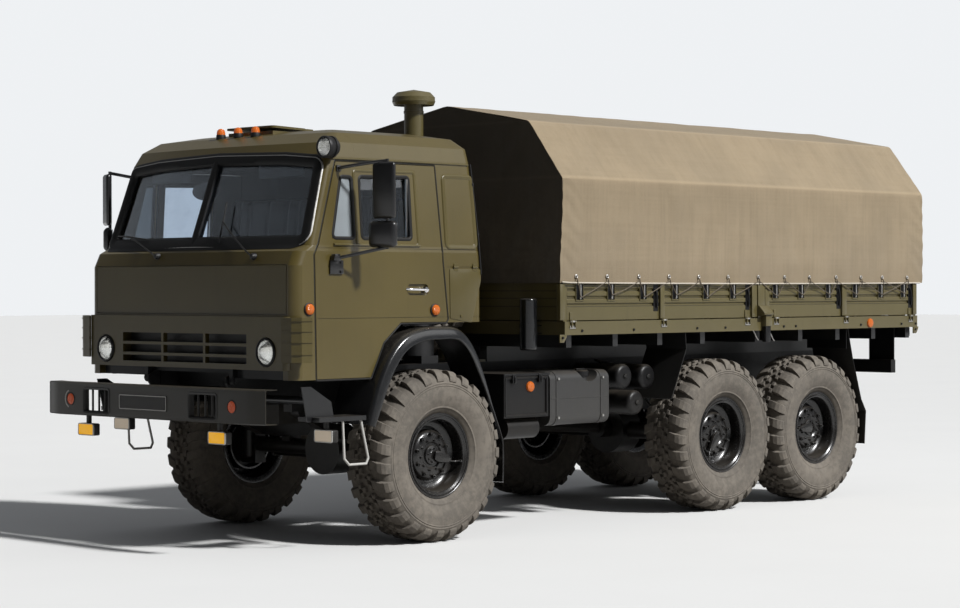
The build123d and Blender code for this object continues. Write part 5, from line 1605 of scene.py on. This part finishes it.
def make_tailgate_fittings(settings):
    face = -6.128
    olive, bright = [], []
    for y in (-1.0, -0.34, 0.34, 1.0):
        olive.append(brick("gate_strap", (face - 0.008, face + 0.004), y, 0.026, (1.64, 1.83), 0.003))
        for z in (1.69, 1.77):
            bright.append(turned("strap_bolt", [(0, 0), (0.01, 0), (0.01, 0.007), (0, 0.008)],
                at(face - 0.014, y, z), "X", 6))
    for sign in (1, -1):
        bright.append(tube("gate_latch", [at(face - 0.002, sign * 1.15, 2.22),
            at(face - 0.022, sign * 1.15, 2.21), at(face - 0.024, sign * 1.11, 2.12),
            at(face - 0.014, sign * 1.095, 2.08)], 0.008, 2))
        olive.append(brick("latch_plate", (face - 0.006, face + 0.004), sign * 1.14, 0.04, (2.15, 2.27), 0.003))
    for y in (-0.45, 0.45):
        bright.append(tube("gate_handle", [at(face, y - 0.07, 2.15), at(face - 0.03, y - 0.066, 2.15),
            at(face - 0.034, y, 2.15), at(face - 0.03, y + 0.066, 2.15), at(face, y + 0.07, 2.15)], 0.008, 2))
    joined("tailgate_straps", olive, "tailgate", "bed_olive")
    joined("tailgate_hardware", bright, "tailgate", "steel")


def make_lacing(settings):
    """The hem's cord, the eyelets and the rope drawn down to the tie bars."""
    hem = [at(x, 1.2535 + 0.002 * math.sin(x * 9), 1.893 - 0.01 * math.sin((x + 1.26) / 4.96 * -math.pi) ** 0.5
        if -6.2 < x < -1.27 else 1.896) for x in [-1.262 - 0.062 * k for k in range(80)]]
    cord = tube("hem_cord", hem, 0.0065, 2)
    pieces = []
    chance = random.Random(4)
    for x in EYELETS:
        top = 1.938 + chance.uniform(-0.006, 0.006)
        pieces.append(tube("hem_loop", [at(x + 0.004, 1.248, top), at(x + 0.002, 1.258, top - 0.012),
            at(x - 0.002, 1.262, 1.9), at(x - 0.008, 1.256, 1.872)], 0.0045, 2))
    for x in TIE_BARS:
        before = min((spot for spot in EYELETS if spot > x), default=None)
        after = max((spot for spot in EYELETS if spot < x), default=None)
        low = 1.79 + chance.uniform(-0.012, 0.012)
        for spot, reach in ((before, 0.01), (after, -0.01)):
            if spot is None:
                continue
            sag = chance.uniform(0.004, 0.012)
            middle = (spot + x) / 2
            pieces.append(tube("lacing", [at(spot, 1.256, 1.905), at(spot * 0.75 + x * 0.25, 1.257,
                1.886 - sag), at(middle, 1.255, 1.85 - sag), at(x + reach, 1.25, low)], 0.0042, 2))
        pieces.append(tube("lacing_turn", [at(x + 0.01, 1.25, low), at(x, 1.2535, low - 0.004),
            at(x - 0.01, 1.25, low)], 0.0042, 2))
    fitted(both_sides("cover_hem_cord", cord), "chassis", "hem_cord")
    fitted(both_sides("cover_lacing", merged("cover_lacing", pieces)), "chassis", "rope")
    rings = [turned("eyelet", [(0.008, 0.0), (0.016, 0.0), (0.016, 0.004), (0.012, 0.006), (0.008, 0.004)],
        at(x, 1.2475, 1.94), "Y", 16) for x in EYELETS]
    fitted(both_sides("cover_eyelets", smooth(merged("cover_eyelets", rings), 40)), "chassis", "steel")


# Chassis fittings

# Front flare outline: distance ahead, height, depth of the outer lip
FLARE = [(0.763, 0.891, 0.066), (0.705, 1.059, 0.084), (0.647, 1.198, 0.092), (0.548, 1.366, 0.096),
    (0.412, 1.497, 0.094), (0.235, 1.56, 0.092), (0.02, 1.572, 0.09), (-0.165, 1.556, 0.084),
    (-0.305, 1.468, 0.08), (-0.425, 1.318, 0.07), (-0.548, 1.092, 0.048), (-0.68, 0.79, 0.022),
    (-0.712, 0.66, 0.016), (-0.71, 0.39, 0.016)]
FLARE_STAYS = [(0.62, 1.222), (-0.543, 1.085)]


def curved(points, parts):
    """Points along a smooth curve that passes through the given ones."""
    made = []
    last = len(points) - 1
    for index in range(last):
        a, b, c, d = (Vector(points[min(max(index + k, 0), last)]) for k in (-1, 0, 1, 2))
        for step in range(parts):
            t = step / parts
            made.append((2 * b + (c - a) * t + (2 * a - 5 * b + 4 * c - d) * t ** 2 + (
                3 * b - a - 3 * c + d) * t ** 3) / 2)
    return made + [Vector(points[last])]


def make_flares(settings):
    path = curved(FLARE, 5)

    def section(lip, edge):
        turn = min(0.03, lip * 0.8)
        return [(0.842, 0.0), (edge - 0.06, 0.0), (edge - 0.034, 0.003), (edge - 0.012, turn * 0.45),
            (edge, turn), (edge, lip), (edge - 0.006, lip + 0.004), (edge - 0.016, lip),
            (edge - 0.014, turn + 0.006), (edge - 0.034, 0.015), (edge - 0.06, 0.011), (0.842, 0.011)]

    count = len(section(0.05, 1.24))

    def shape(u, v):
        x, z, lip = path[round(u * (len(path) - 1))]
        edge = 1.245 - 0.075 * eased(-x, 0.1, 0.72)
        y, depth = section(lip, edge)[round(v * count) % count]
        inward = Vector((-x, AXLE_Z - z)).normalized() * depth
        return at(x + inward.x, y, z + inward.y)

    skin = closed_up(cloth_grid("flare", len(path) - 1, count, shape))
    stays = [tube("flare_stay", [at(x, 0.4, z), at(x, 0.85, z)], 0.016, 4, False) for x, z in FLARE_STAYS]
    pieces = merged("front_flares", [smooth(skin, 40)] + stays)
    fitted(both_sides("front_flares", pieces), "chassis", "flare_black", "front_fenders")
    screen = block("grille_screen", at(1.331, -0.713, 1.307), at(1.336, 0.713, 1.538))
    fitted(screen, "cab", "plastic")


def make_tank_fittings(settings):
    steel, black, caps = [], [], []
    for sign in (1, -1):
        for x in (-1.33, -1.85):
            for z in (0.85, 1.15):
                steel.append(turned("strap_bolt", [(0, 0), (0.011, 0), (0.011, 0.01), (0, 0.012)],
                    at(x, sign * 1.154, z), "Y", 6, sign))
        for x in (-1.255, -1.915):
            seam = rectangle((0.562, 0.792), (1.148, 1.205), 0.07, 0.2)
            black.append(band("tank_seam", seam, [(-0.006, -0.004), (-0.004, 0.004), (0.002, 0.004),
                (0.003, -0.004)], lambda a, b, h, ahead=x: at(ahead + h, sign * a, b)))
        spot = at(-1.7, sign * 1.05, 1.15)
        caps.append(turned("filler_cap", [(0, 0.01), (0.068, 0.01), (0.07, 0.026), (0.068, 0.048),
            (0.054, 0.058), (0, 0.06)], spot, "Z", 32))
        black.append(block("tank_weld", at(-1.915, sign * 1.147, 0.994), at(-1.255, sign * 1.153, 1.002), 0.002,
            1))
        caps.append(brick("cap_lever", (-1.75, -1.65), sign * 1.05, 0.009, (1.204, 1.22), 0.004))
    joined("tank_bolts", steel, "chassis", "steel")
    fitted(merged("tank_seams", black), "chassis", "tank_black")
    joined("filler_caps", caps, "chassis", "black_paint")


def make_battery_fittings(settings):
    def face(x, z, height):
        return at(x, 1.15 + height, z)

    rim = band("box_rim", rectangle((-1.212, 0.876), (-0.733, 1.177), 0.018, 0.1),
        [(-0.016, -0.002), (-0.014, 0.004), (-0.004, 0.006), (0.0, -0.002)], face)
    ribs = [side_block("lid_rib", (-1.226, -0.72), (1.152, 1.162), (1.186, 1.202), 0.003)]
    for x in (-1.12, -0.825):
        ribs.append(side_block("lid_catch", (x - 0.02, x + 0.02), (1.15, 1.168), (1.13, 1.2), 0.004))
        ribs.append(tube("catch_wire", [at(x, 1.168, 1.186), at(x, 1.176, 1.16), at(x, 1.17, 1.132)], 0.005, 2))
    joined("battery_box_trim", [rim] + ribs, "chassis", "black_paint")
    dome = turned("battery_marker", [(0, -0.004), (0.04, -0.004), (0.04, 0.006), (0.036, 0.013), (0.02, 0.018),
        (0, 0.019)], at(-1.02, 1.144, 1.1), "Y", 32)
    fitted(smooth(dome, 30), "chassis", "orange")


def make_pipes(settings):
    hoses = []
    for y, z, x in ((1.01, 1.14, -2.25), (1.01, 1.132, -2.535), (1.01, 0.925, -2.395)):
        hoses.append(turned("tank_boss", [(0, 0.03), (0.022, 0.03), (0.022, 0.046), (0.014, 0.052), (0, 0.052)],
            at(x, y, z), "Y", 6))
    runs = [(0.008, [(-2.25, 0.8, 1.238), (-2.3, 0.7, 1.262), (-2.38, 0.6, 1.262), (-2.535, 0.6, 1.238)]),
        (0.008, [(-2.395, 0.7, 1.02), (-2.395, 0.6, 1.06), (-2.3, 0.5, 1.12), (-2.1, 0.47, 1.15),
        (-1.9, 0.47, 1.16)])]
    for sign in (1, -1):
        runs.append((0.01, [(-0.15, sign * 0.5, 1.05), (-0.17, sign * 0.62, 0.96), (-0.11, sign * 0.7, 0.85),
            (-0.08, sign * 0.74, 0.78)]))
        for axle in (AXLES["middle"], AXLES["rear"]):
            runs.append((0.01, [(axle + x, sign * y, z) for x, y, z in ((0.2, 0.47, 1.05), (0.24, 0.52, 0.94),
                (0.18, 0.58, 0.82), (0.1, 0.6, 0.74))]))
    hoses += [tube("pipe", [at(*point) for point in run], radius, 2) for radius, run in runs]
    for y in (0.16, 0.2, 0.24):
        hoses.append(tube("frame_line", [at(1.0, 0.395, 1.06 + y * 0.2), at(-1.0, 0.4, 1.06 + y * 0.2),
            at(-3.0, 0.4, 1.06 + y * 0.2), at(-5.6, 0.4, 1.06 + y * 0.2)], 0.006, 2))
    fitted(merged("pipes_and_hoses", hoses), "chassis", "rubber")
    edge = [side_block("flap_edge", (-5.048, -5.056), (0.8, 1.225), (1.31, 1.48), 0.002)]
    fitted(both_sides("flap_edges", merged("flap_edges", edge)), "chassis", "black_paint")


def make_intake_fittings(settings):
    rings = []
    for z in (2.02, 2.6, 3.2):
        rings.append(turned("stack_clamp", [(0.074, 0), (0.078, 0.002), (0.078, 0.02), (0.074, 0.022)],
            at(-0.625, 0.29, z), "Z", 48))
    rings.append(turned("cap_bead", [(0.16, 0.287), (0.167, 0.29), (0.167, 0.298), (0.16, 0.301)],
        at(-0.625, 0.29, 3.0), "Z", 64))
    rings.append(turned("stack_joint", [(0.135, 0.1), (0.141, 0.102), (0.141, 0.14), (0.135, 0.142)],
        at(-0.645, 0.29, 1.5), "Z", 48))
    joined("intake_clamps", rings, "chassis", "stack_olive")


# Paint for the CAD nodes that stay


def paint_frame(settings):
    table = {"cab_olive": ["cab_shell", "cab_roof", "door_left", "door_right"],
        "olive": ["front_lid", "roof_hatch", "front_grille"], "bed_olive": ["tailgate", "cover_frame",
        "spare_carrier"], "frame_olive": ["bed_frame"], "board_olive": ["bed_boards"],
        "stack_olive": ["air_intake"], "black_paint": ["cab_floor", "frame_rails", "front_axle", "rear_axles",
        "leaf_springs", "drive_shafts", "battery_box", "air_tanks", "underrun_bar", "tow_hook", "knuckle_left",
        "knuckle_right", "tie_rod", "silencer"], "tank_black": ["fuel_tanks"], "step_black": ["front_steps"],
        "flare_black": ["stowage_canister"], "engine": ["engine_block"], "wood": ["bed_benches"],
        "glass": ["windscreen", "door_glass_left", "door_glass_right"], "clear_lens": ["head_lamps"],
        "orange": ["roof_lamps", "chassis_lamps"], "plastic": ["dashboard", "steering_wheel", "mirror_left",
        "mirror_right"], "rubber": ["rear_mudguards"], "leather": ["cab_seats"],}
    for finish, nodes in table.items():
        for name in nodes:
            data = frame["nodes"][name].data
            data.materials.clear()
            data.materials.append(finish_of(finish))


def build(context, *makers):
    """Runs makers with the settings of the sidebar."""
    for make in makers:
        make(context.scene.truck)
    return {"FINISHED"}


class TRUCK_OT_stage(bpy.types.Operator):
    """Adds the floor, the lights and the camera"""

    bl_idname = "truck.stage"
    bl_label = "Stage"

    def execute(self, context):
        return build(context, make_stage)


class TRUCK_OT_frame_paint(bpy.types.Operator):
    """Paints the CAD nodes that stay"""

    bl_idname = "truck.frame_paint"
    bl_label = "Frame paint"

    def execute(self, context):
        return build(context, paint_frame)


class TRUCK_OT_tyres(bpy.types.Operator):
    """Builds the treaded tyres and the spare"""

    bl_idname = "truck.tyres"
    bl_label = "Tyres"

    def execute(self, context):
        return build(context, make_tyres)


class TRUCK_OT_wheels(bpy.types.Operator):
    """Builds the rims and hubs"""

    bl_idname = "truck.wheels"
    bl_label = "Rims and hubs"

    def execute(self, context):
        return build(context, make_wheels)


class TRUCK_OT_cover(bpy.types.Operator):
    """Hangs the canvas cover over its bows"""

    bl_idname = "truck.cover"
    bl_label = "Canvas cover"

    def execute(self, context):
        return build(context, make_cover)


class TRUCK_OT_cab_trim(bpy.types.Operator):
    """Adds the window rubbers, seams, wipers, handles and side fittings"""

    bl_idname = "truck.cab_trim"
    bl_label = "Cab trim"

    def execute(self, context):
        return build(context, make_windscreen_trim, make_wipers, make_door_trim, make_side_fittings,
            make_mirrors)


class TRUCK_OT_lamps(bpy.types.Operator):
    """Builds the lamps of the cab and the bumper"""

    bl_idname = "truck.lamps"
    bl_label = "Lamps"

    def execute(self, context):
        return build(context, make_head_lamps, make_roof_lamps, make_bumper_fittings)


class TRUCK_OT_interior(bpy.types.Operator):
    """Adds the padded seats, the bunk and the dashboard's instruments"""

    bl_idname = "truck.interior"
    bl_label = "Cab interior"

    def execute(self, context):
        return build(context, make_seats, make_dashboard)


class TRUCK_OT_bed_fittings(bpy.types.Operator):
    """Adds the bed's posts, hinges, bars and the cover's lacing"""

    bl_idname = "truck.bed_fittings"
    bl_label = "Bed fittings"

    def execute(self, context):
        return build(context, make_bed_fittings, make_tailgate_fittings, make_lacing)


class TRUCK_OT_chassis_fittings(bpy.types.Operator):
    """Adds the tanks' straps, the battery box's trim, pipes and hoses"""

    bl_idname = "truck.chassis_fittings"
    bl_label = "Chassis fittings"

    def execute(self, context):
        return build(context, make_flares, make_tank_fittings, make_battery_fittings, make_pipes,
            make_intake_fittings)


STEPS = [TRUCK_OT_stage, TRUCK_OT_frame_paint, TRUCK_OT_tyres, TRUCK_OT_wheels, TRUCK_OT_cover,
    TRUCK_OT_cab_trim, TRUCK_OT_lamps, TRUCK_OT_interior, TRUCK_OT_bed_fittings, TRUCK_OT_chassis_fittings]


class TRUCK_PT_panel(bpy.types.Panel):
    """Shows the truck's settings and building steps in the sidebar"""

    bl_idname = "TRUCK_PT_panel"
    bl_label = "Cargo Truck"
    bl_space_type = "VIEW_3D"
    bl_region_type = "UI"
    bl_category = "Cargo Truck"

    def draw(self, context):
        for name in TruckSettings.__annotations__:
            self.layout.prop(context.scene.truck, name)
        for step in STEPS:
            self.layout.operator(step.bl_idname)


CLASSES = [TruckSettings, *STEPS, TRUCK_PT_panel]


def register():
    for cls in CLASSES:
        bpy.utils.register_class(cls)
    bpy.types.Scene.truck = bpy.props.PointerProperty(type=TruckSettings)


def unregister():
    del bpy.types.Scene.truck
    for cls in reversed(CLASSES):
        bpy.utils.unregister_class(cls)


def main():
    register()
    for step in STEPS:
        group, name = step.bl_idname.split(".")
        getattr(getattr(bpy.ops, group), name)()
    sizes = {"cad": cad_box, "visual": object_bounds()}
    {key: [list(corner) for corner in box] for key, box in sizes.items()}


if __name__ == "__main__":
    main()
